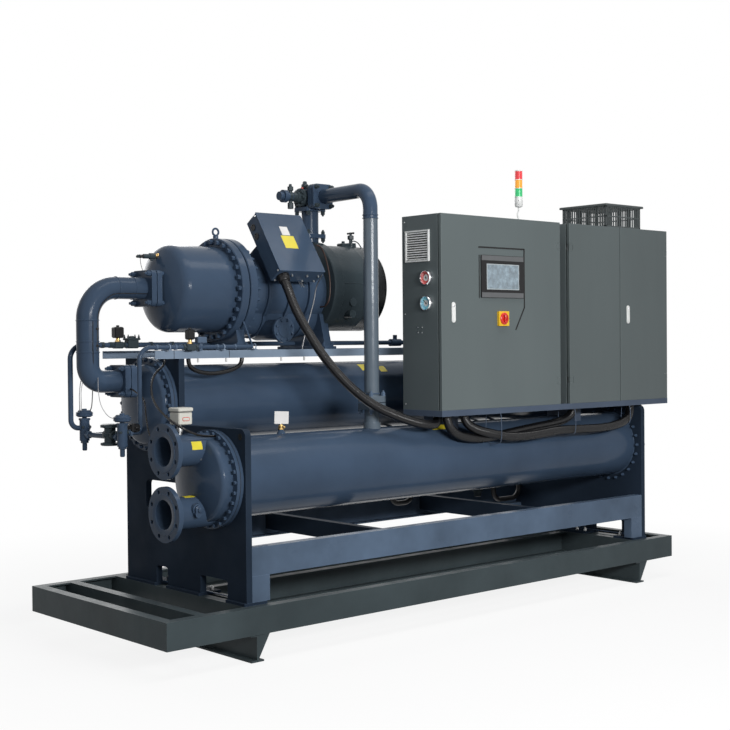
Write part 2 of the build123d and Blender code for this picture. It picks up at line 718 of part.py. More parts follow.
def motor_housing():
    """Motor barrel with its domed end and the first of the two bolted flanges."""
    barrel_start = MOTOR_END_X + MOTOR_DOME_DEPTH
    x_ring = RING_START_X + RING_THICKNESS
    body = flanged_barrel(x_ring, -1, FLANGE_RING_RADIUS, barrel_start, MOTOR_END_X, MOTOR_RADIUS, MOTOR_Z)
    x_port = UPPER_FLANGE_X + UPPER_FLANGE_DEPTH
    port = rod_x(x_port, barrel_start, COMPRESSOR_Y, SUCTION_TOP_Z, PIPE_RADIUS)
    return body + port


def rotor_housing():
    """Rotor casting: a figure of two bores with ribs, between the motor and the oil separator."""
    x0 = RING_START_X + RING_THICKNESS + RING_GAP
    body = ring(x0, RING_END_X, MOTOR_Z, FLANGE_RING_RADIUS)
    body += rod_x(x0 - RING_GAP, x0, COMPRESSOR_Y, MOTOR_Z, MOTOR_RADIUS)
    body += rod_x(RING_END_X, TANK_RING_X, COMPRESSOR_Y, MOTOR_Z, ROTOR_RADIUS)
    lower_z = MOTOR_Z - ROTOR_LOWER_DROP
    body += rod_x(RING_END_X, TANK_RING_X, COMPRESSOR_Y, lower_z, ROTOR_LOWER_RADIUS)
    span = TANK_RING_X - RING_END_X
    for index in range(ROTOR_RIB_COUNT):
        x = RING_END_X + span * (index + 1) / (ROTOR_RIB_COUNT + 1)
        half = ROTOR_RIB_THICKNESS / 2
        body += rod_x(x - half, x + half, COMPRESSOR_Y, MOTOR_Z, ROTOR_RIB_RADIUS)
        body += rod_x(x - half, x + half, COMPRESSOR_Y, lower_z, ROTOR_LOWER_RADIUS + half)
    return body


def capacity_cover(housing):
    """Round bolted cover on a short cylinder, low on the front of the rotor housing."""
    body = rod_y(COVER_X, COVER_FACE_Y + COVER_FLANGE_THICKNESS, COMPRESSOR_Y, COVER_Z, COVER_RADIUS)
    flange_end = COVER_FACE_Y + COVER_FLANGE_THICKNESS
    disc = rod_y(COVER_X, COVER_FACE_Y, flange_end, COVER_Z, COVER_FLANGE_RADIUS)
    disc = chamfer(disc.edges().filter_by(GeomType.CIRCLE), DOOR_EDGE_FILLET)
    return largest(body + disc - housing)


def oil_separator():
    """Oil separator tank with its flange, seam band, dome, top port and sight glasses."""
    barrel_end = TANK_END_X - TANK_DOME_DEPTH
    body = flanged_barrel(TANK_RING_X, 1, TANK_RING_RADIUS, barrel_end, TANK_END_X, TANK_RADIUS, TANK_Z)
    top = TANK_Z + TANK_RADIUS
    body += rod_z(TANK_PORT_X, COMPRESSOR_Y, TANK_Z, top + TANK_PORT_BASE_HEIGHT, TANK_PORT_BASE_RADIUS)
    body += rod_z(TANK_PORT_X, COMPRESSOR_Y, TANK_Z, top + TANK_PORT_HEIGHT, TANK_PORT_RADIUS)
    front = COMPRESSOR_Y - TANK_RADIUS + GLASS_SINK
    for x, drop in ((TANK_PORT_X, HIGH_GLASS_DROP), (TANK_PORT_X - GLASS_SPACING, LOW_GLASS_DROP)):
        body += rod_y(x, front, COMPRESSOR_Y, TANK_Z - drop, GLASS_RADIUS)
    return body


def compressor_feet(compressor):
    """Feet cast to the compressor's curve, one pair of cheeks at each end."""
    feet = []
    y0 = PLATE_STEP_Y + FOOT_GAP_Y
    y1 = PLATE_REAR_Y - FOOT_GAP_Y
    for x in (MOTOR_FOOT_X, TANK_FOOT_X):
        x0 = x - RING_THICKNESS / 2
        x1 = x + RING_THICKNESS / 2
        slab = block(x - CROSS_RAIL_WIDTH / 2, x + CROSS_RAIL_WIDTH / 2, y0, y1,
                     RAIL_TOP, RAIL_TOP + FOOT_PLATE_THICKNESS)
        slab += foot_web(x0, x1, y0, y1)
        slab -= rod_x(x0, x1, LIQUID_Y, LIQUID_Z, LIQUID_RADIUS + PIPE_HOLE_CLEARANCE)
        feet.append(largest(slab - compressor))
    return feet


def foot_web(x0, x1, y0, y1):
    """Trapezoid cheek from the foot plate up to the barrel."""
    low = RAIL_TOP
    high = MOTOR_Z - FOOT_WEB_TOP_DROP
    corners = [(y0 + FOOT_WEB_FLARE, low), (y1 - FOOT_WEB_FLARE, low)]
    corners += [(y1 - FOOT_WEB_INSET, high), (y0 + FOOT_WEB_INSET, high)]
    plane = Plane(origin=(x0, 0, 0), x_dir=(0, 1, 0), z_dir=(1, 0, 0))
    return extrude(plane * make_face(Polyline(*corners, close=True).edges()), x1 - x0)


def lifting_eye():
    """Eyebolt on the top of the motor flange."""
    x = RING_START_X + RING_THICKNESS / 2
    z = MOTOR_Z + FLANGE_RING_RADIUS
    base = rod_z(x, COMPRESSOR_Y, z - EYE_BASE_HEIGHT, z + EYE_BASE_HEIGHT, EYE_BASE_RADIUS)
    loop_z = z + EYE_BASE_HEIGHT + EYE_RADIUS + EYE_WIRE_RADIUS / 2
    loop = Pos(x, COMPRESSOR_Y, loop_z) * Rot(90, 0, 0) * Torus(EYE_RADIUS, EYE_WIRE_RADIUS)
    return base + loop


def box_plane():
    """Plane of the terminal box's face: local x along the box, y up the face, z outwards."""
    tilt = radians(BOX_TILT)
    up = (0, sin(tilt), cos(tilt))
    out = (0, -cos(tilt), sin(tilt))
    along = (up[1] * out[2] - up[2] * out[1], 0, 0)
    return Plane(origin=(BOX_LEFT_X, BOX_FRONT_Y, BOX_FRONT_Z), x_dir=(along[0], 0, 0), z_dir=out)


def terminal_box():
    """Sheet-metal terminal box with its lid standing a little proud."""
    frame = box_plane()
    body = extrude(frame * Pos(BOX_LENGTH / 2, BOX_FACE / 2) * Rectangle(BOX_LENGTH, BOX_FACE), -BOX_DEPTH)
    upright = body.edges().filter_by(Axis(origin=(0, 0, 0), direction=frame.z_dir))
    return fillet(upright, BOX_RADIUS)


def terminal_box_neck(housing):
    """Neck between the terminal box and the rotor housing."""
    frame = box_plane()
    outline = Pos(BOX_LENGTH / 2, NECK_CENTRE) * Rectangle(NECK_WIDTH, NECK_WIDTH)
    back = frame.offset(-BOX_DEPTH)
    return largest(extrude(back * outline, -NECK_LENGTH) - housing)


def sleeve(x0, x1, z):
    """Welding sleeve around a leg of the suction pipe."""
    return rod_x(x0, x1, COMPRESSOR_Y, z, PIPE_RADIUS + SLEEVE_GROWTH)


def suction_upper_elbow():
    """Upper leg and elbow of the suction pipe."""
    bend_low = SUCTION_TOP_Z - PIPE_BEND
    points = [(UPPER_FLANGE_X, COMPRESSOR_Y, SUCTION_TOP_Z), (RISER_X, COMPRESSOR_Y, SUCTION_TOP_Z)]
    points.append((RISER_X, COMPRESSOR_Y, bend_low))
    pipe = bent(points, PIPE_BEND, PIPE_RADIUS)
    return pipe + sleeve(UPPER_FLANGE_X - SLEEVE_LENGTH, UPPER_FLANGE_X, SUCTION_TOP_Z)


def bent(points, bend, radius):
    """Pipe from the first to the last of three points with one elbow; the last point ends the arc."""
    a, b, c = (Vector(*point) for point in points)
    entry = b + (a - b).normalized() * bend
    leave = b + (c - b).normalized() * bend
    middle_ray = ((a - b).normalized() + (c - b).normalized()).normalized()
    half_turn = (a - b).get_angle(c - b) / 2
    centre_distance = bend * tan(radians(half_turn)) / sin(radians(half_turn))
    arc_radius = bend * tan(radians(half_turn))
    middle = b + middle_ray * (centre_distance - arc_radius)
    made = None
    if (entry - a).length > SMALL_LENGTH:
        made = straight(a, entry, radius)
    curve = ThreePointArc(entry, middle, leave)
    profile = Plane(origin=entry, z_dir=b - entry) * Circle(radius)
    elbow = sweep(profile, path=curve)
    made = elbow if made is None else made + elbow
    if (c - leave).length > SMALL_LENGTH:
        made += straight(leave, c, radius)
    return made


def straight(a, b, radius):
    """Round bar between two points."""
    a = Vector(*a) if isinstance(a, tuple) else a
    b = Vector(*b) if isinstance(b, tuple) else b
    plane = Plane(origin=a, z_dir=b - a)
    return extrude(plane * Circle(radius), (b - a).length)


def suction_riser():
    """Vertical leg of the suction pipe between its two elbows."""
    return rod_z(RISER_X, COMPRESSOR_Y, SUCTION_LOW_Z + PIPE_BEND, SUCTION_TOP_Z - PIPE_BEND, PIPE_RADIUS)


def suction_lower_elbow():
    """Lower elbow and leg of the suction pipe."""
    points = [(LOWER_FLANGE_X, COMPRESSOR_Y, SUCTION_LOW_Z), (RISER_X, COMPRESSOR_Y, SUCTION_LOW_Z)]
    points.append((RISER_X, COMPRESSOR_Y, SUCTION_LOW_Z + PIPE_BEND))
    return bent(points, PIPE_BEND, PIPE_RADIUS)


def square_flange_pair(x0, depth, side, z):
    """Two square flanges face to face, with rounded corners and a groove between them."""
    plane = Plane(origin=(x0, COMPRESSOR_Y, z), x_dir=(0, 1, 0), z_dir=(1, 0, 0))
    each = (depth - JOINT_GROOVE) / 2
    outline = RectangleRounded(side, side, FLANGE_CORNER)
    pair = extrude(plane * outline, each)
    pair += extrude(plane.offset(each) * Circle(side / 2 - JOINT_GROOVE), JOINT_GROOVE)
    return pair + extrude(plane.offset(each + JOINT_GROOVE) * outline, each)


def suction_flanges(head, motor):
    """Flange pairs at both ends of the suction pipe, and the stub into the evaporator."""
    upper = square_flange_pair(UPPER_FLANGE_X, UPPER_FLANGE_DEPTH, UPPER_FLANGE_SIDE, SUCTION_TOP_Z)
    lower = square_flange_pair(LOWER_FLANGE_X, LOWER_FLANGE_DEPTH, LOWER_FLANGE_SIDE, SUCTION_LOW_Z)
    x0 = LOWER_FLANGE_X + LOWER_FLANGE_DEPTH
    stub = rod_x(x0, LEFT_PLATE_X, COMPRESSOR_Y, SUCTION_LOW_Z, PIPE_RADIUS + SLEEVE_GROWTH)
    return [upper - motor, lower + largest(stub - head)]


def discharge_valve(tank):
    """Stop valve on the oil separator: neck with two flanges, body, outlet plate and stem."""
    half = VALVE_BODY_SIDE / 2
    y_out = COMPRESSOR_Y - VALVE_LENGTH_Y / 2
    y_back = COMPRESSOR_Y + VALVE_LENGTH_Y / 2
    low = VALVE_AXIS_Z - half
    body = block(VALVE_X - half, VALVE_X + half, y_out, y_back, low, VALVE_AXIS_Z + half)
    body = fillet(body.edges().filter_by(Axis.Y), FLANGE_CORNER)
    side = VALVE_PLATE_SIDE / 2
    plate = RectangleRounded(VALVE_PLATE_SIDE, VALVE_PLATE_SIDE, FLANGE_CORNER)
    outlet = Plane(origin=(VALVE_X, y_out, VALVE_AXIS_Z), x_dir=(1, 0, 0), z_dir=(0, -1, 0))
    body += extrude(outlet * plate, VALVE_PLATE_THICKNESS)
    y_groove = y_out - VALVE_PLATE_THICKNESS - JOINT_GROOVE
    body += rod_y(VALVE_X, y_groove, y_out, VALVE_AXIS_Z, side - JOINT_GROOVE)
    body += extrude(outlet.offset(VALVE_PLATE_THICKNESS + JOINT_GROOVE) * plate, VALVE_PLATE_THICKNESS)
    body += rod_z(VALVE_X, COMPRESSOR_Y, TANK_Z, low, VALVE_NECK_RADIUS)
    for z in (VALVE_NECK_Z, low - VALVE_PLATE_THICKNESS):
        floor = Plane(origin=(VALVE_X, COMPRESSOR_Y, z), z_dir=(0, 0, 1))
        body += extrude(floor * plate, VALVE_PLATE_THICKNESS)
    body += rod_x(VALVE_STEM_END_X, VALVE_X, COMPRESSOR_Y, VALVE_AXIS_Z, VALVE_STEM_RADIUS)
    cap_x = VALVE_STEM_END_X + VALVE_STEM_RADIUS
    body += rod_x(cap_x, cap_x + VALVE_STEM_RADIUS, COMPRESSOR_Y, VALVE_AXIS_Z, VALVE_CAP_RADIUS)
    return largest(body - tank)


def discharge_start():
    """Point where the discharge pipe leaves the valve's outlet flange."""
    y = COMPRESSOR_Y - VALVE_LENGTH_Y / 2 - 2 * VALVE_PLATE_THICKNESS - JOINT_GROOVE
    return (VALVE_X, y, VALVE_AXIS_Z)


def discharge_elbow():
    """Upper run of the discharge pipe and its elbow."""
    corner = (DISCHARGE_X, DISCHARGE_Y, VALVE_AXIS_Z)
    low = (DISCHARGE_X, DISCHARGE_Y, RISER_JOINT_Z)
    pipe = bent([discharge_start(), corner, low], DISCHARGE_BEND, DISCHARGE_RADIUS)
    flush = block(0, SKID_LENGTH, discharge_start()[1], SKID_WIDTH, 0, 2 * VALVE_AXIS_Z)
    return largest(pipe - flush)


def discharge_riser(shell):
    """Vertical run of the discharge pipe down to the condenser, with its flange pair."""
    pipe = rod_z(DISCHARGE_X, DISCHARGE_Y, CONDENSER_Z, RISER_JOINT_Z, DISCHARGE_RADIUS)
    plate = RectangleRounded(RISER_FLANGE_SIDE, RISER_FLANGE_SIDE, FLANGE_CORNER)
    for z in (RISER_FLANGE_Z, RISER_FLANGE_Z + RISER_FLANGE_THICKNESS + JOINT_GROOVE):
        floor = Plane(origin=(DISCHARGE_X, DISCHARGE_Y, z), z_dir=(0, 0, 1))
        pipe += extrude(floor * plate, RISER_FLANGE_THICKNESS)
    collar_top = CONDENSER_Z + SHELL_RADIUS + CROWN_FIT
    pipe += rod_z(DISCHARGE_X, DISCHARGE_Y, CONDENSER_Z, collar_top, DISCHARGE_RADIUS + SLEEVE_GROWTH)
    return largest(pipe - shell)


def pipe_run(points, bends, radius):
    """Pipe with several elbows, built from the middle of each leg to the middle of the next."""
    ends = [Vector(*point) for point in points]
    middles = [(a + b) * 0.5 for a, b in zip(ends[1:-2], ends[2:-1])]
    stations = [ends[0]] + middles + [ends[-1]]
    made = None
    for start, corner, finish, bend in zip(stations, ends[1:-1], stations[1:], bends):
        leg = bent([tuple(start), tuple(corner), tuple(finish)], bend, radius)
        made = leg if made is None else made + leg
    return made


def liquid_line(shell, valves):
    """Liquid pipe: up from the condenser, over the rails, through the feet, down to its valve."""
    points = [(LIQUID_DROP_X, LIQUID_DROP_Y, CONDENSER_Z), (LIQUID_DROP_X, LIQUID_DROP_Y, LIQUID_Z)]
    points += [(LIQUID_DROP_X, LIQUID_Y, LIQUID_Z), (LIQUID_X, LIQUID_Y, LIQUID_Z)]
    points += [(LIQUID_X, LIQUID_Y, EXPANSION_INLET_Z), (EXPANSION_X, LIQUID_Y, EXPANSION_INLET_Z)]
    bends = [LIQUID_BEND, LIQUID_BEND, LIQUID_BEND, LIQUID_LOW_BEND]
    pipe = pipe_run(points, bends, LIQUID_RADIUS)
    x0 = LIQUID_VALVE_X - LIQUID_VALVE_LENGTH / 2
    pipe += rod_x(x0, x0 + LIQUID_VALVE_LENGTH, LIQUID_Y, LIQUID_Z, LIQUID_VALVE_RADIUS)
    pipe += rod_z(LIQUID_VALVE_X, LIQUID_Y, LIQUID_Z, LIQUID_Z + BONNET_HEIGHT, LIQUID_RADIUS)
    return largest(pipe - shell - valves)


def injection_line(valves):
    """Smaller pipe in front of the rail, down to the second expansion valve."""
    points = [(MOTOR_FOOT_X, INJECTION_Y, INJECTION_Z), (INJECTION_X, INJECTION_Y, INJECTION_Z)]
    points += [(INJECTION_X, INJECTION_Y, INJECTION_INLET_Z), (EXPANSION_X, INJECTION_Y, INJECTION_INLET_Z)]
    return largest(pipe_run(points, [INJECTION_BEND, INJECTION_LOW_BEND], INJECTION_RADIUS) - valves)


def expansion_valve(y, inlet):
    """One valve: body about its inlet, spindle below, and the flat diaphragm head above."""
    body = rod_z(EXPANSION_X, y, inlet - EXPANSION_BELOW, inlet + EXPANSION_ABOVE, EXPANSION_RADIUS)
    tail = inlet - EXPANSION_BELOW - EXPANSION_TAIL_LENGTH
    body += rod_z(EXPANSION_X, y, tail, inlet + EXPANSION_HEAD_RISE, EXPANSION_TAIL_RADIUS)
    low = inlet + EXPANSION_HEAD_RISE
    head = rod_z(EXPANSION_X, y, low, low + EXPANSION_HEAD_HEIGHT, EXPANSION_HEAD_RADIUS)
    return body + chamfer(head.edges().filter_by(GeomType.CIRCLE), EXPANSION_HEAD_EDGE)


def expansion_valves(head):
    """Two valves joined by a link, with the feed from the link to the evaporator's head."""
    both = expansion_valve(LIQUID_Y, EXPANSION_INLET_Z) + expansion_valve(INJECTION_Y, INJECTION_INLET_Z)
    link = rod_y(EXPANSION_X, INJECTION_Y, LIQUID_Y, LINK_Z, LIQUID_RADIUS)
    feed = straight((EXPANSION_X, COMPRESSOR_Y, LINK_Z), (LEFT_PLATE_X, COMPRESSOR_Y, LINK_Z), LIQUID_RADIUS)
    return both + link + largest(feed - head)


def cabinet_shell(x0, width, back_y):
    """Open-fronted cabinet of sheet steel with a return lip."""
    x1 = x0 + width
    z0 = CABINET_BOTTOM
    z1 = CABINET_TOP
    wall = CABINET_WALL
    body = block(x0, x1, BODY_FRONT_Y, back_y, z0, z1)
    body -= block(x0 + wall, x1 - wall, BODY_FRONT_Y + wall, back_y - wall, z0 + wall, z1 - wall)
    lip = CABINET_LIP
    return body - block(x0 + lip, x1 - lip, BODY_FRONT_Y, BODY_FRONT_Y + wall, z0 + lip, z1 - lip)


def hinge_heights():
    """Middles of the two hinges of a door."""
    return (CABINET_BOTTOM + HINGE_END_DISTANCE, CABINET_TOP - HINGE_END_DISTANCE)


def hinge_x(x0, width, right_side):
    """X of a door's hinge axis."""
    return x0 + width - PIN_INSET if right_side else x0 + PIN_INSET


def hinge_y():
    """Y of every door's hinge axis, in the middle of the door's thickness."""
    return DOOR_FRONT_Y + DOOR_THICKNESS / 2


def hinge_arms(x):
    """Knuckles with their pins, carried from the cabinet's lip."""
    arms = None
    for z in hinge_heights():
        half = KNUCKLE_HEIGHT / 2
        reach = half + NOTCH_CLEARANCE + PIN_REACH
        arm = rod_z(x, hinge_y(), z - half, z + half, KNUCKLE_RADIUS)
        arm += block(x - ARM_WIDTH / 2, x + ARM_WIDTH / 2, hinge_y(), BODY_FRONT_Y, z - half, z + half)
        arm += rod_z(x, hinge_y(), z - reach, z + reach, PIN_RADIUS)
        arms = arm if arms is None else arms + arm
    return arms


def door_leaf(x0, x1, pivot_x):
    """Door panel with a notch and pin holes at each hinge."""
    leaf = block(x0, x1, DOOR_FRONT_Y, DOOR_FRONT_Y + DOOR_THICKNESS, CABINET_BOTTOM, CABINET_TOP)
    front = leaf.faces().sort_by(Axis.Y)[0]
    leaf = fillet(front.edges(), DOOR_EDGE_FILLET)
    for z in hinge_heights():
        half = KNUCKLE_HEIGHT / 2 + NOTCH_CLEARANCE
        leaf -= block(pivot_x - HINGE_NOTCH_DEPTH, pivot_x + HINGE_NOTCH_DEPTH, DOOR_FRONT_Y,
                      DOOR_FRONT_Y + DOOR_THICKNESS, z - half, z + half)
        reach = half + PIN_REACH + PIN_END_CLEARANCE
        leaf -= rod_z(pivot_x, hinge_y(), z - reach, z + reach, PIN_RADIUS + PIN_CLEARANCE)
    return leaf


def left_cabinet_body():
    """Left cabinet with the knuckles of its door."""
    pivot = hinge_x(LEFT_CABINET_X, LEFT_CABINET_WIDTH, True)
    return cabinet_shell(LEFT_CABINET_X, LEFT_CABINET_WIDTH, LEFT_CABINET_BACK_Y) + hinge_arms(pivot)


def right_cabinet_body():
    """Right cabinet with the knuckles of both doors."""
    shell = cabinet_shell(RIGHT_CABINET_X, RIGHT_CABINET_WIDTH, RIGHT_CABINET_BACK_Y)
    for side in (False, True):
        shell += hinge_arms(hinge_x(RIGHT_CABINET_X, RIGHT_CABINET_WIDTH, side))
    return shell


def left_cabinet_door():
    """Single door of the left cabinet, hinged at its right edge."""
    pivot = hinge_x(LEFT_CABINET_X, LEFT_CABINET_WIDTH, True)
    leaf = door_leaf(LEFT_CABINET_X, LEFT_CABINET_X + LEFT_CABINET_WIDTH, pivot)
    return leaf - rod_y(SWITCH_CENTRE_X, DOOR_FRONT_Y, DOOR_FRONT_Y + KNOB_BORE_DEPTH, SWITCH_CENTRE_Z,
                        KNOB_SHAFT_RADIUS + PIN_CLEARANCE)


def right_cabinet_leaf(right_side):
    """One of the two doors of the right cabinet."""
    pivot = hinge_x(RIGHT_CABINET_X, RIGHT_CABINET_WIDTH, right_side)
    middle = RIGHT_CABINET_X + RIGHT_CABINET_WIDTH / 2
    if right_side:
        return door_leaf(middle + LEAF_GAP / 2, RIGHT_CABINET_X + RIGHT_CABINET_WIDTH, pivot)
    return door_leaf(RIGHT_CABINET_X, middle - LEAF_GAP / 2, pivot)


def handle(x):
    """Flush swing handle with rounded ends on a door's face."""
    plane = Plane(origin=(x, DOOR_FRONT_Y, HANDLE_CENTRE_Z), x_dir=(1, 0, 0), z_dir=(0, -1, 0))
    outline = SlotOverall(HANDLE_HEIGHT, HANDLE_WIDTH, rotation=90)
    body = extrude(plane * outline, HANDLE_THICKNESS)
    rim = body.faces().sort_by(Axis.Y)[0].edges()
    return fillet(rim, DOOR_EDGE_FILLET)


def hmi_panel():
    """Touch panel with a sunk screen, on the left door."""
    x1 = HMI_X + HMI_WIDTH
    body = block(HMI_X, x1, DOOR_FRONT_Y - HMI_DEPTH, DOOR_FRONT_Y, HMI_Z, HMI_Z + HMI_HEIGHT)
    body = fillet(body.edges().filter_by(Axis.Y), DOOR_EDGE_FILLET * 2)
    mid_x = HMI_X + HMI_WIDTH / 2 - HMI_DEPTH
    mid_z = HMI_Z + HMI_HEIGHT / 2
    half_x = HMI_SCREEN_WIDTH / 2
    half_z = HMI_SCREEN_HEIGHT / 2
    face = DOOR_FRONT_Y - HMI_DEPTH
    return body - block(mid_x - half_x, mid_x + half_x, face, face + HMI_SCREEN_RECESS,
                        mid_z - half_z, mid_z + half_z)


def switch_plate():
    """Square plate of the rotary main switch."""
    half = SWITCH_PLATE_SIDE / 2
    back = DOOR_FRONT_Y
    plate = block(SWITCH_CENTRE_X - half, SWITCH_CENTRE_X + half, back - SWITCH_PLATE_THICKNESS, back,
                  SWITCH_CENTRE_Z - half, SWITCH_CENTRE_Z + half)
    plate = fillet(plate.edges().filter_by(Axis.Y), DOOR_EDGE_FILLET * 2)
    return plate - rod_y(SWITCH_CENTRE_X, back - SWITCH_PLATE_THICKNESS, back, SWITCH_CENTRE_Z,
                         KNOB_SHAFT_RADIUS + PIN_CLEARANCE)


def switch_knob():
    """Turning knob of the main switch: disc, grip and the shaft through the plate."""
    disc_back = DOOR_FRONT_Y - SWITCH_PLATE_THICKNESS - KNOB_GAP
    disc_front = disc_back - KNOB_THICKNESS
    shaft_end = DOOR_FRONT_Y + KNOB_BORE_DEPTH - KNOB_GAP
    knob = rod_y(SWITCH_CENTRE_X, disc_front, disc_back, SWITCH_CENTRE_Z, KNOB_RADIUS)
    half = KNOB_GRIP_WIDTH / 2
    grip = block(SWITCH_CENTRE_X - half, SWITCH_CENTRE_X + half, disc_front - KNOB_GRIP_HEIGHT, disc_front,
                 SWITCH_CENTRE_Z - KNOB_RADIUS, SWITCH_CENTRE_Z + KNOB_RADIUS)
    grip = fillet(grip.edges().filter_by(Axis.Y), DOOR_EDGE_FILLET)
    return knob + grip + rod_y(SWITCH_CENTRE_X, disc_back, shaft_end, SWITCH_CENTRE_Z, KNOB_SHAFT_RADIUS)


def mounting_plates():
    """Back plates inside both cabinets, on standoffs."""
    plates = []
    sides = ((LEFT_CABINET_X, LEFT_CABINET_WIDTH, LEFT_CABINET_BACK_Y),
             (RIGHT_CABINET_X, RIGHT_CABINET_WIDTH, RIGHT_CABINET_BACK_Y))
    for x0, width, back_y in sides:
        inner = back_y - CABINET_WALL
        face = inner - PLATE_STANDOFF
        x1 = x0 + width
        z0 = CABINET_BOTTOM + PLATE_MARGIN
        z1 = CABINET_TOP - PLATE_MARGIN
        plate = block(x0 + PLATE_MARGIN, x1 - PLATE_MARGIN, face - MOUNTING_PLATE, face, z0, z1)
        for x in (x0 + 2 * PLATE_MARGIN, x1 - 2 * PLATE_MARGIN):
            for z in (z0 + PLATE_MARGIN, z1 - PLATE_MARGIN):
                plate += rod_y(x, face, inner, z, KNUCKLE_RADIUS)
        plates.append(plate)
    return plates


def cabinet_louvre():
    """Vent louvre on the left side: frame with tilted slats."""
    x = LEFT_CABINET_X
    y1 = LOUVRE_Y + LOUVRE_WIDTH
    z1 = LOUVRE_Z + LOUVRE_HEIGHT
    rim = LOUVRE_FRAME
    frame = block(x - LOUVRE_DEPTH, x, LOUVRE_Y, y1, LOUVRE_Z, z1)
    inner = block(x - LOUVRE_DEPTH, x - SLAT_THICKNESS, LOUVRE_Y + rim, y1 - rim, LOUVRE_Z + rim, z1 - rim)
    frame -= inner
    pitch = (LOUVRE_HEIGHT - 2 * rim) / SLAT_COUNT
    middle_y = (LOUVRE_Y + y1) / 2
    for index in range(SLAT_COUNT):
        z = LOUVRE_Z + rim + pitch * (index + 0.5)
        slat = Box(SLAT_DEPTH, LOUVRE_WIDTH - rim, SLAT_THICKNESS)
        frame += (Pos(x - LOUVRE_DEPTH / 2, middle_y, z) * Rot(0, -SLAT_TILT, 0) * slat) & block(
            x - LOUVRE_DEPTH, x, LOUVRE_Y, y1, LOUVRE_Z, z1)
    return frame


def pressure_gauges():
    """Two round gauges on the left side of the left cabinet."""
    x = LEFT_CABINET_X
    gauges = []
    for z in (UPPER_GAUGE_Z, LOWER_GAUGE_Z):
        gauge = rod_x(x - GAUGE_DEPTH, x, GAUGE_Y, z, GAUGE_RADIUS)
        gauges.append(fillet(gauge.faces().sort_by(Axis.X)[0].edges(), DOOR_EDGE_FILLET))
    return gauges


def tower_light():
    """Signal tower: stem, base and three lenses."""
    z = CABINET_TOP
    body = rod_z(TOWER_X, TOWER_Y, z, z + TOWER_FOOT_HEIGHT, TOWER_RADIUS)
    z += TOWER_STEM_LENGTH
    body += rod_z(TOWER_X, TOWER_Y, CABINET_TOP, z, TOWER_STEM_RADIUS)
    body += rod_z(TOWER_X, TOWER_Y, z, z + TOWER_BASE_HEIGHT, TOWER_RADIUS)
    z += TOWER_BASE_HEIGHT
    for _ in range(TOWER_LENS_COUNT):
        body += rod_z(TOWER_X, TOWER_Y, z, z + TOWER_LENS_HEIGHT, TOWER_RADIUS)
        z += TOWER_LENS_HEIGHT
    return body + rod_z(TOWER_X, TOWER_Y, z, z + TOWER_CAP_HEIGHT, TOWER_RADIUS)


def vent_hood():
    """Roof vent: walls with an overhanging cap."""
    x1 = HOOD_X + HOOD_WIDTH
    y1 = HOOD_Y + HOOD_DEPTH
    z0 = CABINET_TOP
    z1 = z0 + HOOD_HEIGHT
    over = HOOD_CAP_OVERHANG
    body = block(HOOD_X, x1, HOOD_Y, y1, z0, z1)
    cap = block(HOOD_X - over, x1 + over, HOOD_Y - over, y1 + over, z1, z1 + HOOD_CAP_THICKNESS)
    cap = chamfer(cap.faces().sort_by(Axis.Z)[-1].edges(), HOOD_WALL)
    return body + cap


def cabinet_rails():
    """Rails under the cabinets: two along them and three across."""
    width = CABINET_RAIL_WIDTH
    z0 = CABINET_RAIL_BOTTOM
    x1 = RIGHT_CABINET_X + RIGHT_CABINET_WIDTH
    front_y = DOOR_FRONT_Y
    back_y = LEFT_CABINET_BACK_Y - width
    frame = block(LEFT_CABINET_X, x1, front_y, front_y + width, z0, CABINET_BOTTOM)
    frame += block(LEFT_CABINET_X, x1, back_y, back_y + width, z0, CABINET_BOTTOM)
    for x in (LEFT_CABINET_X, RIGHT_CABINET_X - CABINET_SPACING, x1 - width):
        frame += block(x, x + width, front_y, back_y + width, z0, CABINET_BOTTOM)
    return frame


def cabinet_saddles(shell):
    """Saddles between the condenser and the cabinet rails."""
    made = []
    half = SADDLE_HALF_DEPTH
    for x in (LEFT_SADDLE_X, RIGHT_SADDLE_X):
        slab = block(x, x + SADDLE_WIDTH, CONDENSER_Y - half, CONDENSER_Y + half, CONDENSER_Z,
                     CABINET_RAIL_BOTTOM)
        made.append(largest(slab - shell))
    return made


def conduit_gland():
    """Threaded gland in the floor of the terminal box, in line with the conduit's first run."""
    start, onward = (Vector(*point) for point in conduit_a_route()[:2])
    down = (onward - start).normalized()
    return straight(start - down * GLAND_LENGTH, start, GLAND_RADIUS)


def conduit_a_route():
    """Long conduit: down from the terminal box and up into the left cabinet's floor."""
    return [(1176, 561, 1829), (1176, 530, 1781), (1190, 500, 1690), (1232, 448, 1560), (1308, 370, 1385),
            (1404, 280, 1232), (1520, 205, 1120), (1665, 150, 1050), (1800, 118, 1006), (1888, 118, 996),
            (1940, 130, 996), (1970, 144, 1014), (1986, 152, 1046), (1986, 152, 1078)]


def conduit_b_route():
    """Second conduit: out of the left cabinet's floor and into the right cabinet's."""
    return [(2004, 99, 1078), (2004, 99, 1048), (2010, 100, 1012), (2034, 101, 968), (2088, 102, 928),
            (2180, 104, 905), (2330, 108, 893), (2540, 114, 912), (2780, 118, 936), (2950, 117, 950),
            (3050, 114, 964), (3112, 112, 984), (3152, 110, 1012), (3168, 110, 1046), (3168, 110, 1078)]


def conduit_c_route():
    """Third conduit: out of the left cabinet's floor, sagging under both cabinets."""
    return [(2150, 102, 1078), (2150, 102, 1046), (2157, 100, 1012), (2182, 94, 980), (2240, 80, 950),
            (2350, 60, 922), (2500, 46, 895), (2700, 40, 897), (2930, 40, 917), (3160, 41, 912),
            (3390, 43, 908), (3560, 50, 922), (3660, 66, 948), (3715, 84, 980), (3738, 96, 1014),
            (3744, 101, 1048), (3744, 101, 1078)]


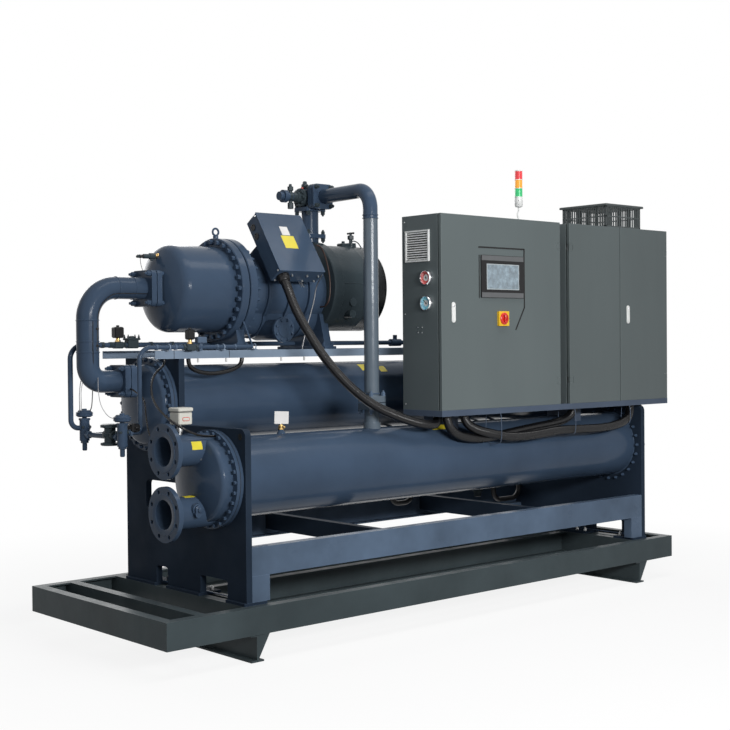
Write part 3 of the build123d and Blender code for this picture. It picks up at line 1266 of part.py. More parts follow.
def sensor_cable_route():
    """Thin cable: from under the front rail, out past the flow switch, to the condenser's head ring."""
    return [(436, 666, 1396), (436, 666, 1372), (406, 648, 1350), (345, 615, 1324), (284, 560, 1275),
            (246, 500, 1214), (230, 430, 1156), (232, 366, 1118), (234, 306, 1087), (262, 256, 1054),
            (318, 246, 1026), (372, 250, 1008), (430, 256, 1000), (474, 256, 1000)]


def rail_cable_route():
    """Thicker cable that sags between two points of the front rail's underside."""
    return [(590, 668, 1396), (590, 668, 1368), (612, 667, 1338), (668, 664, 1318), (747, 662, 1310),
            (830, 664, 1318), (905, 667, 1336), (950, 668, 1366), (950, 668, 1396)]


def box_wire_route():
    """Thin wire from the side of the terminal box, looping down to the rotor housing."""
    return [(1456, 612, 2045), (1477, 612, 2045), (1524, 636, 2020), (1566, 650, 1950), (1592, 656, 1860),
            (1596, 658, 1775), (1588, 664, 1718), (1585, 690, 1694), (1588, 718, 1690), (1590, 743.5, 1690)]


def cord_radii(route):
    """Arc radius at each corner of a route: a share of the shorter run over the tangent of half the turn."""
    radii = []
    for before, here, after in zip(route, route[1:], route[2:]):
        into = Vector(*here) - Vector(*before)
        out = Vector(*after) - Vector(*here)
        half_turn = radians(into.get_angle(out)) / 2
        radii.append(ARC_SHARE * min(into.length, out.length) / tan(half_turn))
    return radii


def cord(name, route, radius):
    """Tube along a route; its radii and length are printed."""
    radii = cord_radii(route)
    path = FilletPolyline(*route, radius=radii)
    print(name, "length", round(path.length), "radii", [round(radius) for radius in radii])
    profile = Plane(origin=path @ 0, z_dir=path % 0) * Circle(radius)
    return sweep(profile, path=path)


def skid_parts():
    """Base ring, feet, end plates and the low frame."""
    front = base_channel_x(0, 1)
    rear = base_channel_x(SKID_WIDTH, -1)
    long_pair = front + rear
    parts = {"base_side_channels": [front, rear]}
    parts["base_end_channels"] = [base_channel_y(0, 1, long_pair), base_channel_y(SKID_LENGTH, -1, long_pair)]
    parts["base_cross_members"] = base_cross_members(long_pair)
    parts["base_centre_beam"] = base_centre_beam()
    parts["foot_beams"] = [foot_beam(LEFT_FOOT_X), foot_beam(RIGHT_FOOT_X)]
    parts["left_end_plate"] = end_plate(LEFT_PLATE_X)
    parts["right_end_plate"] = end_plate(RIGHT_PLATE_X)
    parts["end_plate_pads"] = end_plate_pads()
    parts["long_beams"] = [long_beam(PLATE_FRONT_Y, 1), long_beam(PLATE_REAR_Y, -1)]
    parts["beam_stubs"] = beam_stubs()
    parts["frame_cross_beams"] = frame_cross_beams()
    parts["compressor_rails"] = [compressor_rail(PLATE_STEP_Y, 1), compressor_rail(PLATE_REAR_Y, -1)]
    parts["compressor_cross_rails"] = compressor_cross_rails()
    return parts


def vessel_parts():
    """Both vessels with their heads, nozzles and fittings."""
    condenser = vessel_shell(CONDENSER_Y, CONDENSER_Z)
    evaporator = vessel_shell(EVAPORATOR_Y, EVAPORATOR_Z)
    water_box = left_head(CONDENSER_Y, CONDENSER_Z, WATER_BOX_DEPTH, WATER_BOX_CROWN)
    parts = {"condenser_shell": condenser, "evaporator_shell": evaporator}
    parts["condenser_left_head"] = water_box
    parts["evaporator_left_head"] = left_head(EVAPORATOR_Y, EVAPORATOR_Z, COVER_DEPTH, COVER_CROWN)
    parts["right_heads"] = [right_head(CONDENSER_Y, CONDENSER_Z), right_head(EVAPORATOR_Y, EVAPORATOR_Z)]
    low_z = CONDENSER_Z - NOZZLE_OFFSET
    parts["upper_water_nozzle"] = front_nozzle(CONDENSER_Z + NOZZLE_OFFSET, water_box)
    parts["lower_water_nozzle"] = front_nozzle(low_z, water_box) + side_boss(low_z)
    parts["evaporator_nozzles"] = rear_nozzles(evaporator)
    parts["flow_switch"] = flow_switch()
    parts["relief_valve"] = relief_valve(condenser)
    return parts


def compressor_parts(vessels):
    """Compressor, terminal box and the suction and discharge piping."""
    motor = motor_housing()
    rotor = rotor_housing()
    tank = oil_separator()
    neck = terminal_box_neck(rotor)
    parts = {"motor_housing": motor + lifting_eye(), "rotor_housing": rotor + neck, "oil_separator": tank}
    parts["capacity_cover"] = capacity_cover(rotor)
    parts["compressor_feet"] = compressor_feet(motor + rotor + tank)
    parts["terminal_box"] = terminal_box() + conduit_gland()
    parts["suction_elbows"] = [suction_upper_elbow(), suction_lower_elbow()]
    parts["suction_riser"] = suction_riser()
    parts["suction_flanges"] = suction_flanges(vessels["evaporator_left_head"], motor)
    parts["discharge_valve"] = discharge_valve(tank)
    parts["discharge_elbow"] = discharge_elbow()
    parts["discharge_riser"] = discharge_riser(vessels["condenser_shell"])
    valves = expansion_valves(vessels["evaporator_left_head"])
    parts["refrigerant_lines"] = [liquid_line(vessels["condenser_shell"], valves), injection_line(valves)]
    parts["expansion_valves"] = valves
    return parts


def cabinet_parts(vessels):
    """Cabinets, their doors and furniture, and what they stand on."""
    parts = {"left_cabinet_body": left_cabinet_body(), "right_cabinet_body": right_cabinet_body()}
    parts["left_cabinet_door"] = left_cabinet_door()
    parts["right_cabinet_left_door"] = right_cabinet_leaf(False)
    parts["right_cabinet_right_door"] = right_cabinet_leaf(True)
    parts["left_door_handle"] = handle(LEFT_CABINET_X + HANDLE_INSET + HANDLE_WIDTH / 2)
    leaf_x = RIGHT_CABINET_X + RIGHT_CABINET_WIDTH / 2
    parts["right_door_handle"] = handle(leaf_x + HANDLE_INSET)
    parts["hmi_panel"] = hmi_panel()
    parts["switch_plate"] = switch_plate()
    parts["switch_knob"] = switch_knob()
    parts["mounting_plates"] = mounting_plates()
    parts["cabinet_louvre"] = cabinet_louvre()
    parts["pressure_gauges"] = pressure_gauges()
    parts["tower_light"] = tower_light()
    parts["vent_hood"] = vent_hood()
    parts["cabinet_rails"] = cabinet_rails()
    parts["cabinet_saddles"] = cabinet_saddles(vessels["condenser_shell"])
    return parts


def cord_parts():
    """The three free conduits and the thin cables."""
    parts = {"conduit_a": cord("conduit_a", conduit_a_route(), CONDUIT_RADIUS)}
    parts["conduit_b"] = cord("conduit_b", conduit_b_route(), CONDUIT_RADIUS)
    parts["conduit_c"] = cord("conduit_c", conduit_c_route(), CONDUIT_RADIUS)
    parts["sensor_cable"] = cord("sensor_cable", sensor_cable_route(), SENSOR_CABLE_RADIUS)
    parts["rail_cable"] = cord("rail_cable", rail_cable_route(), RAIL_CABLE_RADIUS)
    parts["box_wire"] = cord("box_wire", box_wire_route(), WIRE_RADIUS)
    return parts


def solids_of(shape):
    """Flat list of the solids in a shape or a list of shapes."""
    if isinstance(shape, (list, tuple)):
        return [solid for piece in shape for solid in solids_of(piece)]
    return list(shape.solids())


def write_parts():
    """Move every piece to the outline's frame and write one file a piece."""
    os.makedirs("parts", exist_ok=True)
    to_outline = Pos(-SKID_LENGTH / 2, -SKID_WIDTH / 2, FOOT_HEIGHT)
    parts = skid_parts()
    vessels = vessel_parts()
    parts.update(vessels)
    parts.update(compressor_parts(vessels))
    parts.update(cabinet_parts(vessels))
    parts.update(cord_parts())
    for name, shape in parts.items():
        moved = [to_outline * solid for solid in solids_of(shape)]
        whole = moved[0] if len(moved) == 1 else Compound(children=moved)
        export_step(whole, f"parts/{name}.step")
    print(len(parts), "pieces")


write_parts()
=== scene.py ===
"""Looks of a water-cooled screw chiller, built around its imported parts.

Places and sizes are in millimetres in the skid frame: origin at the front left lower corner of
the base ring, X along the skid, Y from the front to the back, Z up. at() turns them into metres.
"""
from math import cos, hypot, pi, radians, sin, sqrt, tan

import bmesh
import bpy
from mathutils import Matrix, Vector


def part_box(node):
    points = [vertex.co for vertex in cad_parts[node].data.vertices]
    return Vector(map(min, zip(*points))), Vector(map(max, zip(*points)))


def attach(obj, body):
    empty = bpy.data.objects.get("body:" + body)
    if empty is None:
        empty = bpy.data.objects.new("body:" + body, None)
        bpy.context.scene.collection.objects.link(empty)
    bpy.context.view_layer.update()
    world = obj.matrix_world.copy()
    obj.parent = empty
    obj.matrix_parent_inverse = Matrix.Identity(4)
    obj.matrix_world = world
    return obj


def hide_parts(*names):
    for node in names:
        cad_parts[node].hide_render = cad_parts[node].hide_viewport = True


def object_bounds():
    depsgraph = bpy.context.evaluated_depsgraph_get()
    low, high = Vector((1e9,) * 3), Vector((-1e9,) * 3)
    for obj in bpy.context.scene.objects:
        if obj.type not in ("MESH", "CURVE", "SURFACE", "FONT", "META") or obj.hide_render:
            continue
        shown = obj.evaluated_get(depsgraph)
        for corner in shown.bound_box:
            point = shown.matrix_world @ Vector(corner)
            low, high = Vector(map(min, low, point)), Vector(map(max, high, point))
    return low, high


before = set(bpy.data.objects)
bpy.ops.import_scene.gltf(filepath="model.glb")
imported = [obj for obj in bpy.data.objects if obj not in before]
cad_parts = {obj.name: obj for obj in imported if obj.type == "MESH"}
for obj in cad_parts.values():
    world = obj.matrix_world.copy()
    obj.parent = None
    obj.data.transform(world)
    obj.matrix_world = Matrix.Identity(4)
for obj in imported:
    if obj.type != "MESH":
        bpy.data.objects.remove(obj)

CAD_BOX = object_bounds()
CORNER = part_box("base_side_channels")[0]
MM = 0.001
X = Vector((1, 0, 0))
Y = Vector((0, 1, 0))
Z = Vector((0, 0, 1))
BODY = "chiller"
CONDENSER_Y = 325       # upright plane of the condenser and its nozzles
CENTRE_Y = 918          # upright plane of the evaporator, the compressor and their pipes


def node_box(name):
    """Low and high corner of a node, in millimetres of the skid frame."""
    low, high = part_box(name)
    return (low - CORNER) / MM, (high - CORNER) / MM


def placed(name, data):
    """Object in the scene with the given data."""
    made = bpy.data.objects.new(name, data)
    bpy.context.scene.collection.objects.link(made)
    return made


def only_material(data, material):
    """Give a mesh one material in place of those it has."""
    data.materials.clear()
    data.materials.append(material)


# Materials

def new_material(name, base, rough, metal=0.0):
    """Material with a principled shader, its nodes and its links."""
    made = bpy.data.materials.new(name)
    made.use_nodes = True
    shader = made.node_tree.nodes["Principled BSDF"]
    shader.inputs["Base Color"].default_value = (*base, 1.0)
    shader.inputs["Roughness"].default_value = rough
    shader.inputs["Metallic"].default_value = metal
    made.diffuse_color = (*base, 1.0)
    return made, shader


def add_node(material, kind, **values):
    """Node of the given kind, with its sockets set by name."""
    node = material.node_tree.nodes.new(kind)
    for key, value in values.items():
        socket = node.inputs.get(key.replace("_", " "))
        if socket is not None:
            socket.default_value = value
        else:
            setattr(node, key, value)
    return node


def join(material, source, output, target, entry):
    """Link between two nodes by socket names."""
    material.node_tree.links.new(source.outputs[output], target.inputs[entry])


def noise(material, scale, detail=3.0, rough=0.5, stretch=(1, 1, 1)):
    """Noise in the object's own coordinates, in metres, stretched along an axis."""
    coords = add_node(material, "ShaderNodeTexCoord")
    mapping = add_node(material, "ShaderNodeMapping", Scale=stretch)
    texture = add_node(material, "ShaderNodeTexNoise", Scale=scale, Detail=detail, Roughness=rough)
    join(material, coords, "Object", mapping, "Vector")
    join(material, mapping, "Vector", texture, "Vector")
    return texture


def ramp(material, source, output, stops):
    """Colour ramp with stops of (place, colour)."""
    node = add_node(material, "ShaderNodeValToRGB")
    elements = node.color_ramp.elements
    for index, (place, colour) in enumerate(stops):
        element = elements[index] if index < 2 else elements.new(place)
        element.position = place
        element.color = (*colour, 1.0)
    join(material, source, output, node, "Fac")
    return node


def rescale(material, source, output, low, high, from_low=0.0, from_high=1.0):
    """Value mapped from one range to another."""
    node = add_node(material, "ShaderNodeMapRange", From_Min=from_low, From_Max=from_high,
                    To_Min=low, To_Max=high)
    join(material, source, output, node, "Value")
    return node


MIX_RESULT = 2
MIX_FIRST = 6
MIX_SECOND = 7


def colour_of(node):
    """Colour output of a node, by name or, on a mix, by place."""
    return node.outputs[MIX_RESULT] if node.bl_idname == "ShaderNodeMix" else node.outputs["Color"]


def mixed(material, factor, output, first, second):
    """Mix of two colours by a factor; first and second are colours or nodes."""
    node = add_node(material, "ShaderNodeMix", data_type="RGBA")
    links = material.node_tree.links
    links.new(factor.outputs[output], node.inputs["Factor"])
    for index, value in ((MIX_FIRST, first), (MIX_SECOND, second)):
        if isinstance(value, tuple):
            node.inputs[index].default_value = (*value, 1.0)
        else:
            links.new(colour_of(value), node.inputs[index])
    return node


def shade(colour, factor):
    """Colour made lighter or darker."""
    return tuple(min(1.0, value * factor) for value in colour)


def two_tone(material, texture, base, dark, light, low=0.3, high=0.7):
    """Base colour that drifts between two shades of itself along a texture."""
    return ramp(material, texture, "Fac", [(low, shade(base, dark)), (high, shade(base, light))])


def uneven_gloss(material, shader, texture, rough, low, high):
    """Roughness that drifts between two shares of itself along a texture."""
    gloss = rescale(material, texture, "Fac", rough * low, rough * high, 0.3, 0.7)
    join(material, gloss, "Result", shader, "Roughness")


def soft_edges(material, shader, bumps, radius):
    """Bump from a list of (texture, height in metres), over edges rounded by the given radius."""
    last = add_node(material, "ShaderNodeBevel", samples=4, Radius=radius)
    for texture, height in bumps:
        bump = add_node(material, "ShaderNodeBump", Distance=height)
        join(material, texture, "Fac", bump, "Height")
        join(material, last, "Normal", bump, "Normal")
        last = bump
    join(material, last, "Normal", shader, "Normal")


def worn_and_highlit_edges(material, colour_node, light, radius=0.004, strength=0.5):
    """Lighter paint on outer edges, where the true and the rounded normal differ: partly wear,
    partly a painted highlight on the rounded edges.
    """
    bevel = add_node(material, "ShaderNodeBevel", samples=4, Radius=radius)
    geometry = add_node(material, "ShaderNodeNewGeometry")
    dot = add_node(material, "ShaderNodeVectorMath", operation="DOT_PRODUCT")
    join(material, bevel, "Normal", dot, 0)
    join(material, geometry, "Normal", dot, 1)
    edge = rescale(material, dot, "Value", strength, 0.0, 0.90, 0.995)
    return mixed(material, edge, "Result", colour_node, light)


DUST = (0.085, 0.095, 0.105)
ENAMEL_SHEEN = 0.09     # specular level of the glossy enamels
COAT_SHEEN = 0.22       # specular level of the powder coats


def enamel(name, base, rough=0.3, dust=0.2, grain=1.0, mottle=0.15, edge_wear_and_highlight=1.6,
           sheen=ENAMEL_SHEEN):
    """Sprayed enamel: slow colour drift, dust on top, orange peel and lighter edges that are
    partly wear and partly a painted edge highlight.
    """
    made, shader = new_material(name, base, rough)
    drift = noise(made, 2.2, 4.0, 0.55)
    colour = two_tone(made, drift, base, 1 - mottle, 1 + mottle, high=0.72)
    speck = noise(made, 55.0, 5.0, 0.7)
    dusty = tuple((value + grey) / 2 for value, grey in zip(shade(base, 1.3), DUST))
    geometry = add_node(made, "ShaderNodeNewGeometry")
    split = add_node(made, "ShaderNodeSeparateXYZ")
    join(made, geometry, "Normal", split, "Vector")
    upward = rescale(made, split, "Z", 0.0, dust, 0.25, 1.0)
    patchy = add_node(made, "ShaderNodeMath", operation="MULTIPLY")
    join(made, upward, "Result", patchy, 0)
    join(made, rescale(made, speck, "Fac", 0.4, 1.3, 0.35, 0.65), "Result", patchy, 1)
    dusted = mixed(made, patchy, "Value", colour, dusty)
    # lighter edges: wear together with a painted edge highlight
    edged = worn_and_highlit_edges(made, dusted, shade(base, edge_wear_and_highlight), strength=0.55)
    join(made, edged, MIX_RESULT, shader, "Base Color")
    smear = noise(made, 6.0, 6.0, 0.6)
    uneven_gloss(made, shader, smear, rough, 0.8, 1.35)
    peel = noise(made, 260.0, 2.0, 0.5)
    wave = noise(made, 9.0, 2.0, 0.5)
    soft_edges(made, shader, [(wave, 0.0016 * grain), (peel, 0.00014 * grain)], 0.0015)
    shader.inputs["Specular IOR Level"].default_value = sheen
    return made


def powder_coat(name, base, rough=0.42):
    """Fine textured powder coat of the cabinets, with faint vertical wipe marks, and lighter edges
    that are partly wear and partly a painted edge highlight.
    """
    made, shader = new_material(name, base, rough)
    drift = noise(made, 1.3, 3.0, 0.5, (1, 1, 0.5))
    colour = two_tone(made, drift, base, 0.93, 1.07, low=0.32)
    wiped = noise(made, 5.0, 5.0, 0.6, (3, 3, 0.35))
    # lighter edges: wear together with a painted edge highlight
    edged = worn_and_highlit_edges(made, colour, shade(base, 1.7), 0.003, 0.6)
    join(made, edged, MIX_RESULT, shader, "Base Color")
    uneven_gloss(made, shader, wiped, rough, 0.85, 1.2)
    texture = noise(made, 620.0, 3.0, 0.6)
    panel = noise(made, 1.8, 1.0, 0.4)
    soft_edges(made, shader, [(panel, 0.003), (texture, 0.0001)], 0.0012)
    shader.inputs["Specular IOR Level"].default_value = COAT_SHEEN
    return made


def mill_metal(name, base, rough, scale=90.0, stretch=(1, 1, 12), contrast=0.18):
    """Bare or plated metal with fine marks."""
    made, shader = new_material(name, base, rough, 1.0)
    marks = noise(made, scale, 4.0, 0.6, stretch)
    colour = two_tone(made, marks, base, 1 - contrast, 1 + contrast)
    join(made, colour, "Color", shader, "Base Color")
    uneven_gloss(made, shader, marks, rough, 0.75, 1.4)
    soft_edges(made, shader, [(marks, 0.00008)], 0.0006)
    return made


def plastic(name, base, rough=0.35, bump=0.00005, spec=0.5):
    """Moulded plastic with a faint grain and uneven gloss."""
    made, shader = new_material(name, base, rough)
    grain = noise(made, 420.0, 2.0, 0.5)
    drift = noise(made, 14.0, 3.0, 0.5)
    colour = two_tone(made, drift, base, 0.94, 1.05)
    join(made, colour, "Color", shader, "Base Color")
    uneven_gloss(made, shader, drift, rough, 0.85, 1.2)
    shader.inputs["Specular IOR Level"].default_value = spec
    soft_edges(made, shader, [(grain, bump)], 0.0006)
    return made


def lens(name, base):
    """Ribbed translucent lens of the signal tower, brighter where it is thick."""
    made, shader = new_material(name, base, 0.22)
    ribs = noise(made, 30.0, 2.0, 0.5, (1, 1, 0.2))
    colour = two_tone(made, ribs, base, 0.8, 1.15, 0.25, 0.75)
    join(made, colour, "Color", shader, "Base Color")
    shader.inputs["Emission Color"].default_value = (*base, 1.0)
    shader.inputs["Emission Strength"].default_value = 0.28
    shader.inputs["Coat Weight"].default_value = 0.5
    soft_edges(made, shader, [(ribs, 0.0002)], 0.0006)
    return made


def glass_face(name, base):
    """Screen or gauge glass seen as a glossy coated face with faint cloudy marks."""
    made, shader = new_material(name, base, 0.16)
    clouds = noise(made, 26.0, 4.0, 0.65)
    stops = [(0.35, shade(base, 0.72)), (0.52, base), (0.68, shade(base, 1.45))]
    colour = ramp(made, clouds, "Fac", stops)
    join(made, colour, "Color", shader, "Base Color")
    shader.inputs["Coat Weight"].default_value = 1.0
    shader.inputs["Coat Roughness"].default_value = 0.04
    return made


# Paints, as linear colours
NAVY = (0.048, 0.077, 0.126)
PALE_NAVY = (0.088, 0.128, 0.190)
# darker copy of the navy for the end plates, their pads and the cross beams: painted shade of
# faces turned from the light
PLATE_NAVY_PAINTED_SHADE = (0.022, 0.034, 0.054)
# discharge riser: lighter than the navy, its own grey tone together with a painted highlight of
# its lit face
RISER_STEEL_AND_HIGHLIGHT = (0.098, 0.128, 0.160)
# compressor rails: a pale blue-grey paint lightened further, partly its own colour and partly a
# painted highlight of the lit front face
RAIL_STEEL_AND_HIGHLIGHT = (0.225, 0.290, 0.380)
CHARCOAL = (0.040, 0.055, 0.064)
SKID_GREY = (0.050, 0.066, 0.072)
DOOR_GREY = (0.113, 0.137, 0.140)
SIDE_GREY = (0.112, 0.135, 0.140)
HOOD_GREY = (0.062, 0.073, 0.075)

blue = enamel("blue_enamel", NAVY, 0.17)
plate_blue_painted_shade = enamel("plate_enamel_painted_shade", PLATE_NAVY_PAINTED_SHADE, 0.45, 0.15, 1.0, 0.2, 2.6, 0.02)
riser_steel_and_highlight = enamel("riser_enamel_and_highlight", RISER_STEEL_AND_HIGHLIGHT, 0.2, 0.1, 1.0, 0.15, 1.6, 0.3)
pale = enamel("pale_blue_enamel", PALE_NAVY, 0.3, 0.15, 1.2, 0.3)
rail_steel_and_highlight = enamel("rail_steel_enamel", RAIL_STEEL_AND_HIGHLIGHT, 0.3, 0.15, 1.0)
dark = enamel("dark_enamel", CHARCOAL, 0.26, 0.2, 1.6)
skid = enamel("skid_enamel", SKID_GREY, 0.34, 0.25, 1.2, 0.2)
coat_door = powder_coat("door_coat", DOOR_GREY)
coat_side = powder_coat("side_coat", SIDE_GREY, 0.36)
# right cabinet's doors: the door coat darkened, painted shade where the light falls off to the
# right
coat_leaf_painted_shade = powder_coat("leaf_coat_painted_shade", shade(DOOR_GREY, 0.86))
coat_hood = powder_coat("hood_coat", HOOD_GREY)
rail_blue = enamel("rail_enamel", (0.075, 0.10, 0.145), 0.34, 0.2, 0.8)
zinc = mill_metal("zinc_bolt", (0.55, 0.56, 0.56), 0.32)
galvanised = mill_metal("galvanised_plate", (0.27, 0.285, 0.295), 0.5, 26.0, (1, 1, 1), 0.12)
brass = mill_metal("brass", (0.50, 0.34, 0.14), 0.28)
steel_tube = mill_metal("steel_capillary", (0.24, 0.24, 0.25), 0.36)
chrome = mill_metal("chrome", (0.75, 0.76, 0.78), 0.14)
black = plastic("black_plastic", (0.009, 0.009, 0.010), 0.32, 0.00005, 0.25)
rubber = plastic("black_conduit", (0.007, 0.007, 0.008), 0.24, 0.0001, 0.3)
white = plastic("white_plastic", (0.80, 0.81, 0.80), 0.28)
beige = plastic("beige_plastic", (0.62, 0.61, 0.55), 0.45)
yellow = plastic("yellow_plastic", (0.82, 0.50, 0.015), 0.34)
label_yellow = plastic("yellow_label", (0.72, 0.60, 0.03), 0.4)
label_white = plastic("white_label", (0.72, 0.71, 0.70), 0.42)
red = plastic("red_plastic", (0.62, 0.022, 0.012), 0.26)
red_wire = plastic("red_wire", (0.42, 0.05, 0.03), 0.4)
brown_wire = plastic("brown_wire", (0.05, 0.026, 0.02), 0.42)
grey_trim = plastic("grey_trim", (0.10, 0.105, 0.11), 0.32)
screen = glass_face("screen_glass", (0.20, 0.27, 0.32))
frame_grey = plastic("screen_frame", (0.40, 0.45, 0.47), 0.3)
gauge_red = glass_face("red_dial", (0.85, 0.16, 0.15))
gauge_blue = glass_face("blue_dial", (0.26, 0.68, 0.88))
lens_red = lens("red_lens", (0.72, 0.02, 0.03))
lens_amber = lens("amber_lens", (0.90, 0.36, 0.01))
lens_green = lens("green_lens", (0.01, 0.48, 0.15))


# Mesh building

class Piece:
    """Mesh under construction, in millimetres of the skid frame."""

    def __init__(self, name, material, body=BODY):
        self.name = name
        self.body = body
        self.mesh = bmesh.new()
        self.materials = [material]
        self.current = 0

    def paint(self, material):
        """Material of what is added next."""
        if material not in self.materials:
            self.materials.append(material)
        self.current = self.materials.index(material)
        return self

    def face(self, corners):
        """Face between corners that are already in the mesh."""
        if len(set(corners)) < 3:
            return
        made = self.mesh.faces.new(corners)
        made.material_index = self.current
        made.smooth = True

    def rings(self, loops, closed=False, cap_start=True, cap_end=True):
        """Skin over equal loops of points; closed joins the last to the first."""
        made = [[self.mesh.verts.new(point) for point in loop] for loop in loops]
        pairs = list(zip(made, made[1:]))
        if closed:
            pairs.append((made[-1], made[0]))
        count = len(made[0])
        for low, high in pairs:
            for index in range(count):
                after = (index + 1) % count
                self.face([low[index], low[after], high[after], high[index]])
        if not closed and cap_start:
            self.face(list(reversed(made[0])))
        if not closed and cap_end:
            self.face(made[-1])
        return self

    def turned(self, origin, axis, steps, segments=24, phase=0.0):
        """Shape turned about an axis from steps of (distance along, radius)."""
        side, up = across(axis)
        start = Vector(origin)
        direction = Vector(axis).normalized()
        loops = []
        for along, radius in steps:
            radius = max(radius, 0.01)
            loop = []
            for index in range(segments):
                turn = 2 * pi * index / segments + phase
                out = (side * cos(turn) + up * sin(turn)) * radius
                loop.append(start + direction * along + out)
            loops.append(loop)
        return self.rings(loops)

    def rod(self, start, end, radius, segments=20, edge=0.0):
        """Round bar between two points, with chamfered ends."""
        run = Vector(end) - Vector(start)
        length = run.length
        edge = min(edge, radius * 0.45, length * 0.45)
        if edge > 0:
            steps = [(0, radius - edge), (edge, radius), (length - edge, radius),
                     (length, radius - edge)]
        else:
            steps = [(0, radius), (length, radius)]
        return self.turned(start, run, steps, segments)

    def prism(self, origin, axis, outline, depth, edge=0.0, up=None):
        """Prism over an outline of (across, up) points, with a chamfer round its far face."""
        side, top = across(axis, up)
        start = Vector(origin)
        direction = Vector(axis).normalized()
        mid_a = sum(point[0] for point in outline) / len(outline)
        mid_b = sum(point[1] for point in outline) / len(outline)
        levels = [(0, 0.0), (depth, 0.0)]
        if edge:
            levels[1:] = [(depth - edge, 0.0), (depth, edge)]
        loops = []
        for along, inset in levels:
            loop = []
            for a, b in outline:
                reach = hypot(a - mid_a, b - mid_b)
                scale = (reach - inset) / reach if reach else 1.0
                point = side * (mid_a + (a - mid_a) * scale) + top * (mid_b + (b - mid_b) * scale)
                loop.append(start + direction * along + point)
            loops.append(loop)
        return self.rings(loops)

    def block(self, low, high, edge=1.0):
        """Box between two corners, with all its edges chamfered."""
        low = Vector(low)
        high = Vector(high)
        size = high - low
        edge = min(edge, min(size) * 0.4)
        loops = []
        for z, inset in ((low.z, edge), (low.z + edge, 0), (high.z - edge, 0), (high.z, edge)):
            cut = max(edge, 0.02)
            x0, x1 = low.x + inset, high.x - inset
            y0, y1 = low.y + inset, high.y - inset
            corners = ((x0 + cut, y0), (x1 - cut, y0), (x1, y0 + cut), (x1, y1 - cut),
                       (x1 - cut, y1), (x0 + cut, y1), (x0, y1 - cut), (x0, y0 + cut))
            loops.append([Vector((x, y, z)) for x, y in corners])
        return self.rings(loops)

    def tube(self, points, radius, segments=12, radii=None):
        """Round tube along a list of points."""
        loops = []
        for index, (point, side, up) in enumerate(carried(points)):
            reach = radii[index] if radii else radius
            loop = []
            for step in range(segments):
                turn = 2 * pi * step / segments
                loop.append(point + (side * cos(turn) + up * sin(turn)) * reach)
            loops.append(loop)
        return self.rings(loops)

    def torus(self, centre, axis, major, minor, segments=28, sides=10, arc=2 * pi):
        """Ring, or an arc of one, about an axis."""
        side, up = across(axis)
        direction = Vector(axis).normalized()
        whole = arc >= 2 * pi - 1e-6
        loops = []
        for index in range(segments if whole else segments + 1):
            turn = arc * index / segments
            out = side * cos(turn) + up * sin(turn)
            loop = []
            for step in range(sides):
                lean = 2 * pi * step / sides
                reach = out * (major + minor * cos(lean)) + direction * minor * sin(lean)
                loop.append(Vector(centre) + reach)
            loops.append(loop)
        return self.rings(loops, closed=whole)

    def collar(self, centre, axis, profile, segments=56):
        """Closed ring about an axis, from its section as (distance along, radius)."""
        side, up = across(axis)
        direction = Vector(axis).normalized()
        loops = []
        for index in range(segments):
            turn = 2 * pi * index / segments
            out = side * cos(turn) + up * sin(turn)
            loops.append([Vector(centre) + direction * along + out * radius
                          for along, radius in profile])
        return self.rings(loops, closed=True)

    def collar_plate(self, centre, axis, outer, inner, depth):
        """Flat rectangular frame standing on a face, with Z up."""
        side, top = across(axis, Z)
        direction = Vector(axis).normalized()
        loops = []
        for sx, sy in ((1, 1), (-1, 1), (-1, -1), (1, -1)):
            loop = []
            for size, along in ((outer, 0), (outer, depth), (inner, depth), (inner, 0)):
                corner = side * sx * size[0] / 2 + top * sy * size[1] / 2
                loop.append(Vector(centre) + corner + direction * along)
            loops.append(loop)
        return self.rings(loops, closed=True)

    def bolt_circle(self, centre, axis, radius, count, size, phase=0.0, reach=0.0):
        """Bolt heads, or studs with nuts, spread round a circle."""
        for place, _ in around(centre, axis, radius, count, phase):
            if reach:
                self.stud(place, axis, size, reach)
            else:
                self.hex_head(place, axis, size, size * 0.6)
        return self

    def square_bolts(self, centre, axis, offset, size, reach, up):
        """Studs with nuts at the four corners of a square flange."""
        side, top = across(axis, up)
        for a in (-offset, offset):
            for b in (-offset, offset):
                self.stud(Vector(centre) + side * a + top * b, axis, size, reach)
        return self

    def hex_head(self, base, axis, size, height, washer=True):
        """Hexagon head, with a washer under it; size is the width over the flats."""
        direction = Vector(axis).normalized()
        start = Vector(base)
        if washer:
            thick = size * 0.1
            self.turned(start, direction, [(0, size * 0.58), (thick, size * 0.58)], 16)
            start = start + direction * thick
        corner = size / sqrt(3)
        steps = [(0, corner), (height * 0.82, corner), (height, corner * 0.8)]
        return self.turned(start, direction, steps, 6, 0.3)

    def stud(self, base, axis, size, reach):
        """Nut with the end of its stud standing out."""
        direction = Vector(axis).normalized()
        self.hex_head(base, direction, size, size * 0.8)
        start = Vector(base) + direction * size * 0.85
        steps = [(0, size * 0.3), (reach, size * 0.3), (reach + 1.5, size * 0.2)]
        return self.turned(start, direction, steps, 10)

    def done(self, replaces=(), angle=38.0):
        """Object from the mesh, riding on its body."""
        scale = Matrix.Translation(CORNER) @ Matrix.Scale(MM, 4)
        self.mesh.transform(scale)
        bmesh.ops.recalc_face_normals(self.mesh, faces=self.mesh.faces)
        data = bpy.data.meshes.new(self.name)
        self.mesh.to_mesh(data)
        self.mesh.free()
        for material in self.materials:
            data.materials.append(material)
        made = placed(self.name, data)
        data.set_sharp_from_angle(angle=radians(angle))
        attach(made, self.body)
        if replaces:
            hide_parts(*replaces)
        return made


